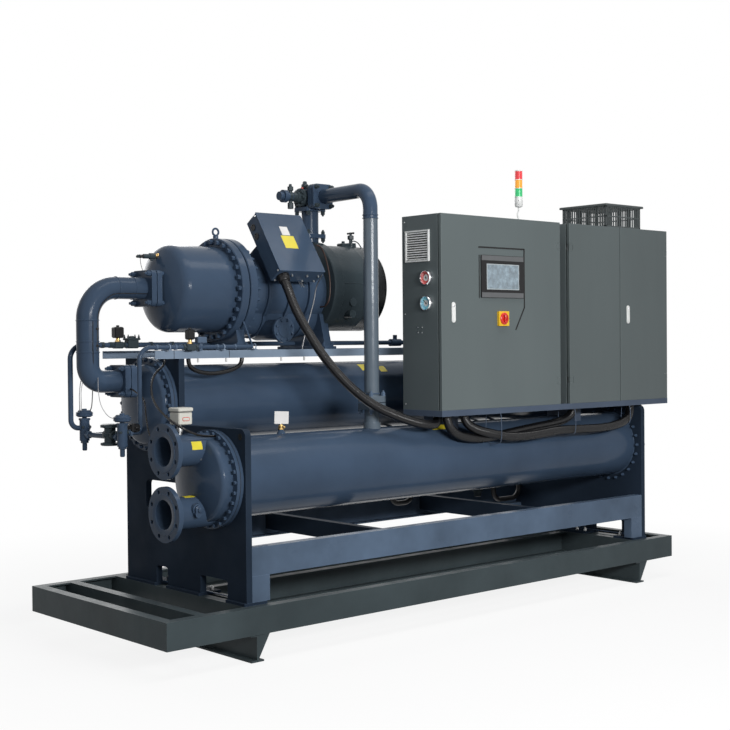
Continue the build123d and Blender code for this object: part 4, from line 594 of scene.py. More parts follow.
def across(axis, up=None):
    """Two directions square to an axis."""
    direction = Vector(axis).normalized()
    if up is not None:
        top = (Vector(up) - direction * direction.dot(Vector(up))).normalized()
        return top.cross(direction), top
    helper = Z if abs(direction.z) < 0.9 else X
    side = helper.cross(direction).normalized()
    return side, direction.cross(side).normalized()


def carried(points):
    """Each point with two directions square to the path, carried along it without twist."""
    points = [Vector(point) for point in points]
    ahead = []
    for index in range(len(points)):
        before = points[max(index - 1, 0)]
        after = points[min(index + 1, len(points) - 1)]
        ahead.append((after - before).normalized())
    side, up = across(ahead[0])
    frames = []
    for point, direction in zip(points, ahead):
        side = (side - direction * direction.dot(side)).normalized()
        up = direction.cross(side).normalized()
        frames.append((point, side, up))
    return frames


def arcs(points, bend, steps=8):
    """Path of a rigid pipe: straight legs joined by arcs of one bend radius."""
    points = [Vector(point) for point in points]
    path = [points[0]]
    for before, corner, after in zip(points, points[1:], points[2:]):
        into = (corner - before).normalized()
        out = (after - corner).normalized()
        turn = into.angle(out)
        if turn < 0.01:
            continue
        reach = min(bend * tan(turn / 2), (corner - before).length * 0.49,
                    (after - corner).length * 0.49)
        radius = reach / tan(turn / 2)
        inward = (out - into * into.dot(out)).normalized()
        centre = corner - into * reach + inward * radius
        for step in range(steps + 1):
            angle = turn * step / steps
            path.append(centre - inward * radius * cos(angle) + into * radius * sin(angle))
    path.append(points[-1])
    return path


def smooth_path(points, per_span=8):
    """Catmull-Rom line through points, for capillaries bent by hand."""
    points = [Vector(point) for point in points]
    line = [points[0] * 2 - points[1]] + points + [points[-1] * 2 - points[-2]]
    path = []
    for a, b, c, d in zip(line, line[1:], line[2:], line[3:]):
        for step in range(per_span):
            t = step / per_span
            path.append(0.5 * (2 * b + (c - a) * t + (2 * a - 5 * b + 4 * c - d) * t * t
                               + (3 * b - a - 3 * c + d) * t * t * t))
    path.append(points[-1])
    return path


def around(centre, axis, radius, count, phase=0.0, arc=2 * pi):
    """Points spread evenly round an axis, with their directions outwards."""
    side, up = across(axis)
    spread = []
    for index in range(count):
        turn = phase + arc * index / count
        out = side * cos(turn) + up * sin(turn)
        spread.append((Vector(centre) + out * radius, out))
    return spread


def rounded(width, height, radius, steps=5):
    """Outline of a rounded rectangle about the origin."""
    outline = []
    for cx, cy, start in ((1, 1, 0), (-1, 1, 90), (-1, -1, 180), (1, -1, 270)):
        for step in range(steps + 1):
            turn = radians(start + 90 * step / steps)
            outline.append((cx * (width / 2 - radius) + radius * cos(turn),
                            cy * (height / 2 - radius) + radius * sin(turn)))
    return outline


def reshaped(name, node, material, move):
    """Piece that stands for a node: a copy of its mesh, each point moved by move(x, y, z)."""
    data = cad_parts[node].data.copy()
    data.name = name
    for vertex in data.vertices:
        place = (vertex.co - CORNER) / MM
        vertex.co += Vector(move(*place)) * MM
    only_material(data, material)
    made = placed(name, data)
    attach(made, BODY)
    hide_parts(node)


# Camera

CAMERA_AT = (-5.486, -6.0124, 1.61525)
CAMERA_HEADING = radians(41.58)
CAMERA_PITCH = radians(0.98)
CAMERA_ROLL = radians(-0.49)
CAMERA_LENS = 65.0
SENSOR = 36.0


def make_camera():
    """Camera at the photograph's viewing angle."""
    forward = Vector((sin(CAMERA_HEADING) * cos(CAMERA_PITCH),
                      cos(CAMERA_HEADING) * cos(CAMERA_PITCH), -sin(CAMERA_PITCH)))
    level = Vector((cos(CAMERA_HEADING), -sin(CAMERA_HEADING), 0))
    upright = level.cross(forward)
    right = level * cos(CAMERA_ROLL) + upright * sin(CAMERA_ROLL)
    up = right.cross(forward)
    data = bpy.data.cameras.new("photo_camera")
    data.lens = CAMERA_LENS
    data.sensor_width = SENSOR
    data.clip_end = 100
    made = placed("photo_camera", data)
    turn = Matrix((right, up, -forward)).transposed()
    made.matrix_world = Matrix.Translation(CAMERA_AT) @ turn.to_4x4()
    bpy.context.scene.camera = made


make_camera()


# Conduits and cables

CONDUIT_DIAMETER = 54.0
CONDUIT_PITCH = 9.0
CONDUIT_RIB = 1.6

# Control points of the cords, from where each leaves the object to where it goes back in
CONDUIT_A = [(1176, 561, 1829), (1176, 530, 1781), (1190, 500, 1690), (1232, 448, 1560),
             (1308, 370, 1385), (1404, 280, 1232), (1520, 205, 1120), (1665, 150, 1050),
             (1800, 118, 1006), (1888, 118, 996), (1940, 130, 996), (1970, 144, 1014),
             (1986, 152, 1046), (1986, 152, 1078)]
CONDUIT_B = [(2004, 99, 1078), (2004, 99, 1048), (2010, 100, 1012), (2034, 101, 968),
             (2088, 102, 928), (2180, 104, 905), (2330, 108, 893), (2540, 114, 912),
             (2780, 118, 936), (2950, 117, 950), (3050, 114, 964), (3112, 112, 984),
             (3152, 110, 1012), (3168, 110, 1046), (3168, 110, 1078)]
CONDUIT_C = [(2150, 102, 1078), (2150, 102, 1046), (2157, 100, 1012), (2182, 94, 980),
             (2240, 80, 950), (2350, 60, 922), (2500, 46, 895), (2700, 40, 897),
             (2930, 40, 917), (3160, 41, 912), (3390, 43, 908), (3560, 50, 922),
             (3660, 66, 948), (3715, 84, 980), (3738, 96, 1014), (3744, 101, 1048),
             (3744, 101, 1078)]
SENSOR_CABLE = [(436, 666, 1396), (436, 666, 1372), (406, 648, 1350), (345, 615, 1324),
                (284, 560, 1275), (246, 500, 1214), (230, 430, 1156), (232, 366, 1118),
                (234, 306, 1087), (262, 256, 1054), (318, 246, 1026), (372, 250, 1008),
                (430, 256, 1000), (474, 256, 1000)]
RAIL_CABLE = [(590, 668, 1396), (590, 668, 1368), (612, 667, 1338), (668, 664, 1318),
              (747, 662, 1310), (830, 664, 1318), (905, 667, 1336), (950, 668, 1366),
              (950, 668, 1396)]
BOX_WIRE = [(1456, 612, 2045), (1477, 612, 2045), (1524, 636, 2020), (1566, 650, 1950),
            (1592, 656, 1860), (1596, 658, 1775), (1588, 664, 1718), (1585, 690, 1694),
            (1588, 718, 1690), (1590, 743.5, 1690)]


def route_line(route):
    """Points in the skid frame along the smooth line whose control points are the route's."""
    curve = bpy.data.curves.new("route", "CURVE")
    curve.dimensions = "3D"
    curve.resolution_u = 16
    spline = curve.splines.new("NURBS")
    spline.points.add(len(route) - 1)
    for point, place in zip(spline.points, route):
        point.co = (*place, 1.0)
    spline.order_u = 3
    spline.use_endpoint_u = True
    carrier = placed("route", curve)
    mesh = bpy.data.meshes.new_from_object(carrier)
    points = [vertex.co.copy() for vertex in mesh.vertices]
    bpy.data.objects.remove(carrier)
    bpy.data.meshes.remove(mesh)
    return points


def evenly(points, spacing):
    """Points at even spacing along a line."""
    lengths = [0.0]
    for a, b in zip(points, points[1:]):
        lengths.append(lengths[-1] + (b - a).length)
    count = max(2, round(lengths[-1] / spacing))
    spread = []
    index = 0
    for step in range(count + 1):
        target = lengths[-1] * step / count
        while index < len(points) - 2 and lengths[index + 1] < target:
            index += 1
        span = lengths[index + 1] - lengths[index]
        share = (target - lengths[index]) / span if span else 0.0
        spread.append(points[index].lerp(points[index + 1], share))
    return spread, lengths[-1]


def corrugated(name, route, node):
    """Corrugated conduit along a route."""
    line = route_line(route)
    ring_points, length = evenly(line, CONDUIT_PITCH / 4)
    radius = CONDUIT_DIAMETER / 2
    crest = (0.0, -CONDUIT_RIB, -CONDUIT_RIB, 0.0)
    radii = [radius + crest[index % 4] for index in range(len(ring_points))]
    piece = Piece(name, rubber)
    piece.tube(ring_points, radius, 28, radii)
    made = piece.done([node], 60)


def plain_cable(name, route, node, radius, material):
    """Smooth cable along a route."""
    path, length = evenly(route_line(route), radius)
    piece = Piece(name, material)
    piece.tube(path, radius, 14)
    made = piece.done([node], 60)


corrugated("conduit_a_hose", CONDUIT_A, "conduit_a")
corrugated("conduit_b_hose", CONDUIT_B, "conduit_b")
corrugated("conduit_c_hose", CONDUIT_C, "conduit_c")
plain_cable("sensor_lead", SENSOR_CABLE, "sensor_cable", 6, rubber)
plain_cable("rail_lead", RAIL_CABLE, "rail_cable", 12, rubber)
plain_cable("box_lead", BOX_WIRE, "box_wire", 4.5, brown_wire)


# Pressure vessels

CONDENSER = Vector((0, CONDENSER_Y, 771))
EVAPORATOR = Vector((0, CENTRE_Y, 1144))
SHELL_RADIUS = 213
LEFT_PLATE = (514, 550)
RIGHT_PLATE = (3804, 3840)
NOZZLE_HEIGHTS = (931, 611)
NOZZLE_FACE_X = 200
REAR_NOZZLES = (900, 3430)
REAR_FACE_Y = 1345
BORE = 75.2


def vessel_point(axis, x):
    """Point on a vessel's axis."""
    return Vector((x, axis.y, axis.z))


def nozzle_faces():
    """Raised sealing faces and weld beads of the water nozzles."""
    piece = Piece("nozzle_faces", blue)
    section = [(0, BORE), (0, 108), (2.5, 106), (2.5, 79)]
    for z in NOZZLE_HEIGHTS:
        piece.collar((NOZZLE_FACE_X, CONDENSER.y, z), -X, section)
        piece.torus((NOZZLE_FACE_X + 49, CONDENSER.y, z), X, 85, 4, 48)
    for x in REAR_NOZZLES:
        piece.collar((x, REAR_FACE_Y, EVAPORATOR.z), Y, section)
        piece.torus((x, REAR_FACE_Y - 49, EVAPORATOR.z), Y, 85, 4, 48)
    piece.done()


def vessel_bolts():
    """Cover bolts of the heads, and their nuts inside the end plates."""
    piece = Piece("vessel_bolts", blue)
    for axis in (CONDENSER, EVAPORATOR):
        piece.bolt_circle(vessel_point(axis, 474), -X, 243, 28, 18)
        piece.bolt_circle(vessel_point(axis, 3865), X, 237, 24, 21)
        piece.bolt_circle(vessel_point(axis, LEFT_PLATE[1]), X, 240, 24, 19, reach=8)
        piece.bolt_circle(vessel_point(axis, RIGHT_PLATE[0]), -X, 240, 24, 17, reach=6)
    piece.done()


def head_seams():
    """Gasket line between head and plate, and weld seams round the shells."""
    seams = Piece("shell_seams", blue)
    for axis in (CONDENSER, EVAPORATOR):
        for x in (552, 3802):
            seams.torus(vessel_point(axis, x), X, SHELL_RADIUS, 5, 64)
    seams.done()
    gaskets = Piece("head_gaskets", black)
    section = [(-1.6, 240), (-1.6, 258.6), (1.6, 258.6), (1.6, 240)]
    for axis in (CONDENSER, EVAPORATOR):
        for x in (495, 3841):
            gaskets.collar(vessel_point(axis, x), X, section, 64)
    gaskets.done()


def head_plugs():
    """Drain and vent plugs of the water heads, and the test plug of the lower nozzle."""
    piece = Piece("head_plugs", galvanised)
    drain = [(0, 16), (14, 16), (15, 20), (30, 20), (31, 13), (38, 11)]
    piece.turned((404, 352, 566), (-0.75, -0.25, -0.6), drain, 12)
    piece.turned((392, 262, 884), (-0.8, -0.3, 0.4), [(0, 10), (8, 10), (9, 7), (14, 7)], 6)
    boss = [(0, 33), (16, 30), (17, 24), (30, 24), (32, 20)]
    piece.paint(blue).turned((345, 246, 633), -Y, boss, 28)
    piece.turned((345, 216, 633), -Y, [(0, 15), (10, 15), (12, 12)], 6)
    piece.done()


def wrapped(piece, axis, radius, x0, x1, low, high, thick=0.8):
    """Thin label bent round a vessel between two angles from the front, in degrees."""
    loops = []
    for step in range(9):
        turn = radians(low + (high - low) * step / 8)
        out = Vector((0, -cos(turn), sin(turn)))
        near = Vector((0, axis.y, axis.z)) + out * radius
        far = near + out * thick
        loops.append([near + X * x0, near + X * x1, far + X * x1, far + X * x0])
    piece.rings(loops)


def vessel_labels():
    """Blank tags on the shells and on the water nozzles."""
    tags = Piece("yellow_tags", label_yellow)
    wrapped(tags, EVAPORATOR, SHELL_RADIUS, 1950, 2010, 48, 66)
    wrapped(tags, EVAPORATOR, SHELL_RADIUS, 2095, 2150, 44, 58)
    wrapped(tags, CONDENSER, SHELL_RADIUS, 2010, 2180, 60, 76)
    upper, lower = (Vector((0, CONDENSER_Y, z)) for z in NOZZLE_HEIGHTS)
    wrapped(tags, upper, 84, 322, 384, 4, 34)
    wrapped(tags, lower, 84, 312, 372, 70, 98)
    tags.done()
    tag = Piece("shell_tag", label_white)
    tag.prism((957, 321, 1071), -Y, rounded(97, 68, 2), 1.2, 0.3, (0.05, 0, 1))
    wire = smooth_path([(950, 322, 1046), (952, 318, 1036), (957, 322, 1030)])
    tag.paint(zinc).tube(wire, 1.4, 8)
    tag.done()


def relief():
    """Safety valve on the condenser: grey socket, hexagon, brass body and side outlet."""
    low, high = node_box("relief_valve")
    foot = Vector((957, CONDENSER_Y, low.z))
    body = [(0, 13), (10, 13), (12, 16), (22, 16), (26, 11), (32, 8)]
    piece = Piece("relief_fitting", blue)
    piece.turned(foot, Z, [(0, 24), (5, 22), (22, 13)], 24)
    piece.paint(brass).turned(foot + Z * 20, Z, body, 24)
    piece.turned(foot + Z * 21, Z, [(0, 16), (2, 18), (9, 18), (10, 16)], 6)
    piece.rod(foot + Z * 37, foot + Z * 37 - Y * 30, 7, 16, 2)
    piece.done(["relief_valve"])


SWITCH_EXTRA = 20       # how much wider and higher than the solid the switch's box is
SWITCH_RISE = 26


def flow_switch():
    """Paddle switch on the upper nozzle: pale box with a lid, a blank oval and a threaded stem."""
    low, high = node_box("flow_switch")
    middle = (low.x + high.x) / 2
    right, top, floor = high.x + SWITCH_EXTRA, high.z + SWITCH_RISE, high.z - 62
    piece = Piece("flow_switch_case", beige)
    piece.block((low.x + 2, low.y + 2, floor), (right - 2, high.y - 2, top - 22), 5)
    piece.block((low.x - 2, low.y - 2, top - 20), (right + 2, high.y + 2, top), 4)
    piece.paint(grey_trim)
    piece.block((low.x + 3, low.y + 3, top - 23), (right - 3, high.y - 3, top - 19), 1)
    piece.paint(zinc)
    for x in (low.x + 10, right - 10):
        for y in (low.y + 10, high.y - 10):
            piece.turned((x, y, top - 1), Z, [(0, 3.5), (1.8, 3), (2, 1)], 10)
    face = Vector(((low.x + right) / 2 + 2, low.y + 2.4, floor + 30))
    piece.paint(red).prism(face, -Y, rounded(46, 20, 9.4), 1.0, 0.3, Z)
    piece.paint(beige).prism(face - Y, -Y, rounded(40, 14, 6.7), 0.6, 0.2, Z)
    stem = [(0, 14), (14, 14), (14.5, 19), (28, 19), (28.5, 12), (floor + 1 - low.z, 12)]
    piece.paint(zinc).turned((middle, CONDENSER_Y, low.z), Z, stem, 18)
    gland = Vector((right, CONDENSER_Y, floor + 30))
    piece.paint(black).rod(gland - X, gland + X * 22, 9, 16, 2)
    piece.done(["flow_switch"])


# Compressor

MOTOR = Vector((0, CENTRE_Y, 1785))
TANK = Vector((0, CENTRE_Y, 1811))
BOX_CORNER = Vector((1126, 538, 1885))
BOX_TILT = radians(33.5)
BOX_UP = Vector((0, sin(BOX_TILT), cos(BOX_TILT)))
BOX_OUT = Vector((0, -cos(BOX_TILT), sin(BOX_TILT)))
BOX_WIDTH = 330
BOX_FACE = 411

# How far the shapes stand from the solids that they replace
MOTOR_REACH = 75
TANK_CUT = 142
RING_GROWTH = 20
FOOT_SHIFT = 310
PORT_SHIFT = 80
GLASS_SHIFT = 125
VALVE_SHIFT = 43
VALVE_RISE = 33
UPPER_SHIFT = 75
LOWER_SHIFT = 45

PORT_X = 1905
FOOT_XS = (985, 1620)
FOOT_TOP = 1455
FOOT_BOLTS_Y = (715, 1120)
COVER_CENTRE = (1243, 652, 1552)
DISCHARGE_X = 1700 - VALVE_SHIFT
DISCHARGE_Z = 2325 + VALVE_RISE
RISER_X = 1621
SUCTION_X = 117
SUCTION_HIGH = 1783
SUCTION_LOW = 1276
SUCTION_BEND = 172
SUCTION_RADIUS = 60.5


def longer_motor(x, y, z):
    """The dome reaches further left than the solid's."""
    return (-MOTOR_REACH if x < 800 else 0, 0, 0)


def shorter_tank(x, y, z):
    """The separator ends sooner, its port stands further right, its sight glass further left."""
    if x > 2050:
        return (-TANK_CUT, 0, 0)
    if x < 1650:
        return (-RING_GROWTH, 0, 0)
    if abs(x - PORT_X) < 70 and z > 2000 and abs(y - CENTRE_Y) < 70:
        return (PORT_SHIFT, 0, 0)
    if abs(x - PORT_X) < 70 and y < 760:
        return (-GLASS_SHIFT, 0, 0)
    return (0, 0, 0)


def moved_cross_rail(x, y, z):
    """The rear cross rail stays under its foot."""
    return (-FOOT_SHIFT if x > 1500 else 0, 0, 0)


def moved_valve(x, y, z):
    """The discharge valve stands a little further left and higher."""
    return (-VALVE_SHIFT, 0, VALVE_RISE if z > 2190 else 0)


def moved_outlet(x, y, z):
    """The upper discharge pipe follows the valve, and keeps its foot on the riser."""
    return (-VALVE_SHIFT * max(0.0, y - 400) / 450, 0, VALVE_RISE if z > 2215 else 0)


def moved_flanges(x, y, z):
    """Both flange pairs of the suction pipe stand further left."""
    return (-UPPER_SHIFT if z > 1530 else -LOWER_SHIFT, 0, 0)


def compressor_shapes():
    """Parts that the photograph shows a little apart from their solids."""
    reshaped("motor_shell", "motor_housing", blue, longer_motor)
    reshaped("separator_tank", "oil_separator", dark, shorter_tank)
    reshaped("cross_rails", "compressor_cross_rails", blue, moved_cross_rail)
    reshaped("discharge_stop_valve", "discharge_valve", blue, moved_valve)
    reshaped("discharge_bend", "discharge_elbow", blue, moved_outlet)
    reshaped("suction_plates", "suction_flanges", blue, moved_flanges)
    low, high = node_box("compressor_feet")
    half = FOOT_XS[0] - low.x
    piece = Piece("feet", blue)
    for x in FOOT_XS:
        piece.block((x - half, low.y, low.z), (x + half, high.y, FOOT_TOP), 2)
        outline = [(low.y + 22, FOOT_TOP - 1), (high.y - 22, FOOT_TOP - 1), (1076, 1650),
                   (760, 1650)]
        piece.prism((x - 26, 0, 0), X, outline, 52)
    piece.done(["compressor_feet"])
    pipe = Piece("suction_pipe", blue)
    line = [(465, CENTRE_Y, SUCTION_HIGH), (SUCTION_X, CENTRE_Y, SUCTION_HIGH),
            (SUCTION_X, CENTRE_Y, SUCTION_LOW), (299, CENTRE_Y, SUCTION_LOW)]
    pipe.tube(arcs(line, SUCTION_BEND, 18), SUCTION_RADIUS, 44)
    pipe.done(["suction_elbows", "suction_riser"], angle=60)


def compressor_bolts():
    """Bolts of the motor flange, the capacity cover and the feet."""
    piece = Piece("compressor_bolts", blue)
    piece.bolt_circle(vessel_point(MOTOR, 929), -X, 272, 28, 25)
    piece.bolt_circle(vessel_point(MOTOR, 1040), X, 272, 28, 22, reach=8)
    piece.bolt_circle(COVER_CENTRE, -Y, 60, 8, 15, pi / 8)
    piece.turned(COVER_CENTRE, -Y, [(0, 44), (3, 43), (4, 34)], 32)
    for foot_x in FOOT_XS:
        for x in (foot_x - 30, foot_x + 30):
            for y in FOOT_BOLTS_Y:
                piece.stud((x, y, FOOT_TOP), Z, 22, 8)
    piece.done()


def dome_valve():
    """Service valve on the shoulder of the dome: brass union, dark body and black wing handle."""
    lean = Vector((-1, 0, -0.03)).normalized()
    root = Vector((606, 930, 1966))
    piece = Piece("dome_valve", brass)
    piece.turned(root, lean, [(0, 15), (24, 15), (26, 12), (58, 12)], 20)
    piece.turned(root + lean * 26, lean, [(0, 17), (2, 18), (14, 18), (16, 17)], 6)
    piece.paint(dark).turned(root - lean * 40, lean, [(0, 24), (52, 24), (56, 19)], 20)
    stem = [(0, 15), (3, 18), (34, 18), (38, 13), (74, 13), (76, 9), (110, 9)]
    piece.turned(root + lean * 56, lean, stem, 20)
    piece.rod(root + lean * 76, root + lean * 76 - Z * 26, 8, 14, 2)
    wing = root + lean * 150
    piece.paint(black).rod(root + lean * 108, root + lean * 160, 10, 16, 3)
    piece.rod(wing - Y * 34, wing + Y * 34, 8, 14, 3)
    piece.tube(smooth_path([wing - Z * 4, wing + Vector((2, -4, -46)), (474, 922, 1862)]), 1.6, 8)
    piece.done()


def on_box(along, up, depth=0.0):
    """Point on the terminal box's face, measured from its lower left corner."""
    return BOX_CORNER + X * along + BOX_UP * up - BOX_OUT * depth


def box_details():
    """Lid, blank labels, knock-outs, lid screws and cable entry of the terminal box."""
    lid = Piece("terminal_box_lid", blue)
    outline = rounded(BOX_WIDTH + 4, BOX_FACE + 3, 5)
    lid.prism(on_box(BOX_WIDTH / 2, BOX_FACE / 2, 1), BOX_OUT, outline, 4, 1.2, BOX_UP)
    lid.done()
    labels = Piece("terminal_box_labels", label_yellow)
    labels.prism(on_box(159, 206, -3), BOX_OUT, rounded(93, 90, 2), 0.9, 0.2, BOX_UP)
    labels.paint(label_white)
    labels.prism(on_box(157, 286, -3), BOX_OUT, rounded(57, 62, 2), 0.9, 0.2, BOX_UP)
    labels.done()
    ports = Piece("terminal_box_ports", black)
    for up, depth in ((350, 62), (288, 64)):
        start = on_box(-1.0, up, depth)
        ports.collar(start, -X, [(0, 14), (0, 20), (3, 20), (3.5, 17), (1, 15)], 32)
        ports.turned(start + X * 0.5, -X, [(0, 15), (1, 15)], 24)
    screws = Piece("terminal_box_screws", zinc)
    for up in (12, BOX_FACE - 14):
        for along, way in ((-0.5, -X), (BOX_WIDTH + 0.5, X)):
            screws.turned(on_box(along, up, 14), way, [(0, 6), (3, 5), (4, 2)], 12)
    for along in (26, 112, 222, 305):
        screws.hex_head(on_box(along, 0, 40), -BOX_UP, 11, 7)
    for along in (18, 118, 216, 303):
        screws.hex_head(on_box(along, 0, 88), -BOX_UP, 11, 7)
    for along in (196, 212):
        screws.rod(on_box(along, -2, 96), on_box(along + 2, -44, 92), 3, 10, 0.6)
    screws.done()
    line = Piece("box_capillary", steel_tube)
    line.tube(smooth_path([on_box(BOX_WIDTH, 4, 30), (1458, 620, 1800), (1448, 640, 1700),
                           (1420, 660, 1580), (1392, 668, 1470), (1388, 668, 1434)]), 3.4, 10)
    line.done()
    start, onward = Vector(CONDUIT_A[0]), Vector(CONDUIT_A[1])
    way = (onward - start).normalized()
    ports.turned(start - way * 34, way, [(0, 38), (16, 38), (17, 35), (34, 35), (40, 31)], 24)
    ports.done()


def discharge_bolts():
    """Corner bolts, gland nuts and plugs of the discharge valve, and its flanges' nuts."""
    piece = Piece("discharge_bolts", dark)
    x, z = DISCHARGE_X, DISCHARGE_Z
    for y, way in ((790, -Y), (843, Y)):
        piece.square_bolts((x, y, z), way, 56, 24, 10, Z)
    for height, way in ((z - 59, Z), (z - 83, -Z), (2136, Z), (2112, -Z)):
        piece.square_bolts((x, CENTRE_Y, height), way, 56, 22, 8, Y)
    cross = [(0, 14), (3, 18), (36, 18), (40, 12), (108, 12), (112, 18), (134, 18), (138, 10),
             (150, 8)]
    piece.turned((x - 58, CENTRE_Y, z), -X, [(0, 52), (4, 56), (20, 56), (24, 50)], 32)
    piece.bolt_circle((x - 82, CENTRE_Y, z), -X, 44, 8, 16)
    neck = [(0, 34), (3, 36), (26, 36), (30, 28), (58, 28), (62, 22)]
    nut = [(0, 26), (3, 29), (22, 29), (26, 24), (52, 24), (58, 16)]
    plug = [(0, 20), (4, 22), (24, 22), (28, 14), (40, 13), (44, 8)]
    for start, axis, steps, sides, phase in (
            ((x - 82, CENTRE_Y, z), -X, neck, 24, 0),
            ((x - 144, CENTRE_Y, z), -X, nut, 8, 0.2),
            ((x - 150, CENTRE_Y, z - 74), Z, cross, 6, 0),
            ((x, 975, z), Y, [(0, 48), (14, 48), (16, 40)], 6, 0),
            ((x - 38, CENTRE_Y, z + 57), Z, plug, 8, 0)):
        piece.turned(start, axis, steps, sides, phase)
    piece.paint(red_wire).turned((x - 70, 905, z + 42), Z, [(0, 8), (18, 8), (20, 5)], 12)
    piece.paint(pale)
    for height, way in ((1090, -Z), (1167, Z)):
        piece.square_bolts((RISER_X, CONDENSER_Y, height), way, 47, 22, 10, Y)
    piece.done()


def pipe_welds():
    """Weld beads on the suction and discharge pipes."""
    piece = Piece("pipe_welds", blue)
    for x, z in ((118, 1435), (SUCTION_X, 1493), (SUCTION_X, 1606)):
        piece.torus((x, CENTRE_Y, z), Z, 60, 3.6, 40)
    for x, z in ((289, SUCTION_HIGH), (392, SUCTION_HIGH), (291, SUCTION_LOW)):
        piece.torus((x, CENTRE_Y, z), X, 60, 3.6, 40)
    for z in (2190, 2208, 1180):
        piece.torus((RISER_X, CONDENSER_Y, z), Z, 43, 4, 36)
    piece.done()


def flange_bolts():
    """Long bolts through both square flange pairs of the suction pipe."""
    piece = Piece("suction_bolts", blue)
    for x0, x1, z, offset, size in (
            (535 - UPPER_SHIFT, 601 - UPPER_SHIFT, SUCTION_HIGH, 80, 26),
            (339 - LOWER_SHIFT, 412 - LOWER_SHIFT, SUCTION_LOW, 68, 24)):
        piece.square_bolts((x0, CENTRE_Y, z), -X, offset, size, 12, Z)
        piece.square_bolts((x1, CENTRE_Y, z), X, offset, size, 6, Z)
    piece.done()


def separator_fittings():
    """Service valve and plug on the separator's top, and the weld seam along its side."""
    x = PORT_X + PORT_SHIFT
    piece = Piece("separator_fittings", dark)
    piece.turned((x, CENTRE_Y, 2066), Z, [(0, 34), (18, 34), (22, 28)], 8)
    piece.turned((x, CENTRE_Y, 2120), Z, [(0, 17), (3, 20), (24, 20), (27, 16)], 6)
    piece.rod((x, CENTRE_Y, 2140), (x, CENTRE_Y, 2166), 8, 12, 1)
    piece.paint(black).rod((x, 886, 2160), (x, 950, 2160), 6, 12, 2)
    piece.paint(dark).block((x - 92, 888, 2062), (x - 34, 948, 2094), 5)
    piece.hex_head((x - 62, CENTRE_Y, 2094), Z, 20, 12)
    piece.tube(smooth_path([(x, CENTRE_Y, 2108), (x + 24, 912, 2112), (x + 40, 892, 2098),
                            (x + 34, 850, 2060)]), 3.5, 8)
    seam = [vessel_point(TANK, x) + Vector((0, -262.4, 22)) for x in (1694, 1760, 1840, 1918)]
    piece.tube(seam, 2.4, 8)
    piece.done()


# Refrigerant piping at the left end

VALVE_X = 144
LIQUID_Y, LIQUID_Z = 1010, 1473
INJECTION_Y, INJECTION_Z = 622, 1458
BACK_VALVE = Vector((VALVE_X, LIQUID_Y, 1027))
FRONT_VALVE = Vector((VALVE_X, INJECTION_Y, 1015))


def valve_head(piece, inlet):
    """Ridges of a diaphragm head, its cap screws and the hexagon below it."""
    base = inlet + Z * 58
    piece.paint(blue)
    for rise, radius in ((8, 45), (16, 46), (24, 45)):
        piece.torus(base + Z * rise, Z, radius - 2, 3, 36, 8)
    piece.turned(base + Z * 32, Z, [(0, 34), (5, 32), (6, 14), (13, 12)], 28)
    piece.turned(inlet + Z * 40, Z, [(0, 29), (2, 31), (10, 31), (12, 29)], 6)
    piece.turned(inlet - Z * 84, Z, [(0, 18), (2, 21), (14, 21), (16, 24)], 6)
    piece.turned(inlet - Z * 124, Z, [(0, 10), (3, 12), (20, 12)], 12)
    piece.paint(dark)
    for place, out in around(inlet + Z * 4, Z, 27, 4, pi / 4):
        piece.hex_head(place, out, 13, 8)


def end_valves():
    """Detail of the two expansion valves and of the stop valve between them."""
    piece = Piece("expansion_valve_detail", blue)
    for inlet in (BACK_VALVE, FRONT_VALVE):
        valve_head(piece, inlet)
    stop = Vector((VALVE_X, 745, 1000))
    body = [(0, 44), (4, 50), (14, 50), (18, 30), (92, 30), (96, 50), (110, 50), (114, 40)]
    piece.paint(dark).turned(stop - Z * 56, Z, body, 32)
    piece.rod(stop - Y * 46, stop + Y * 46, 24, 20, 4)
    piece.turned(stop - X * 28, -X, [(0, 13), (10, 13), (12, 9)], 6)
    low, high = FRONT_VALVE + Vector((44, -30, 2)), FRONT_VALVE + Vector((94, 26, 46))
    piece.paint(black).block(low, high, 7)
    piece.turned(FRONT_VALVE + Vector((70, -30, 24)), -Y, [(0, 8), (7, 8), (8, 5)], 12)
    piece.paint(pale).turned(BACK_VALVE + X * 27, -X, [(0, 20), (3, 21), (18, 21), (20, 18)], 6)
    piece.turned(FRONT_VALVE + X * 42, X, [(0, 18), (2, 19), (15, 19), (17, 16)], 6)
    for y in (975, 675):
        piece.turned((VALVE_X, y, 991), -Y, [(0, 22), (18, 22), (20, 18)], 6)
    piece.done()


def solenoid(piece, centre, drop, long, wide, tall):
    """Valve on a pipe: body, brass tube, black coil with its nut and plug."""
    piece.paint(dark).block(centre - Vector((30, 22, 20)), centre + Vector((30, 22, 18)), 6)
    for along in (-48, 32):
        piece.turned(centre + X * along, X, [(0, 15), (2, 18), (14, 18), (16, 15)], 6)
    piece.paint(brass).rod(centre + Z * 16, centre + Z * drop, 11, 16, 1)
    piece.turned(centre + Z * 18, Z, [(0, 16), (8, 16)], 6)
    low = centre + Z * drop - Vector((long / 2, wide / 2, 0))
    piece.paint(black).block(low, low + Vector((long, wide, tall)), 6)
    piece.rod(centre + Z * (drop + tall), centre + Z * (drop + tall + 9), 9, 12, 2)


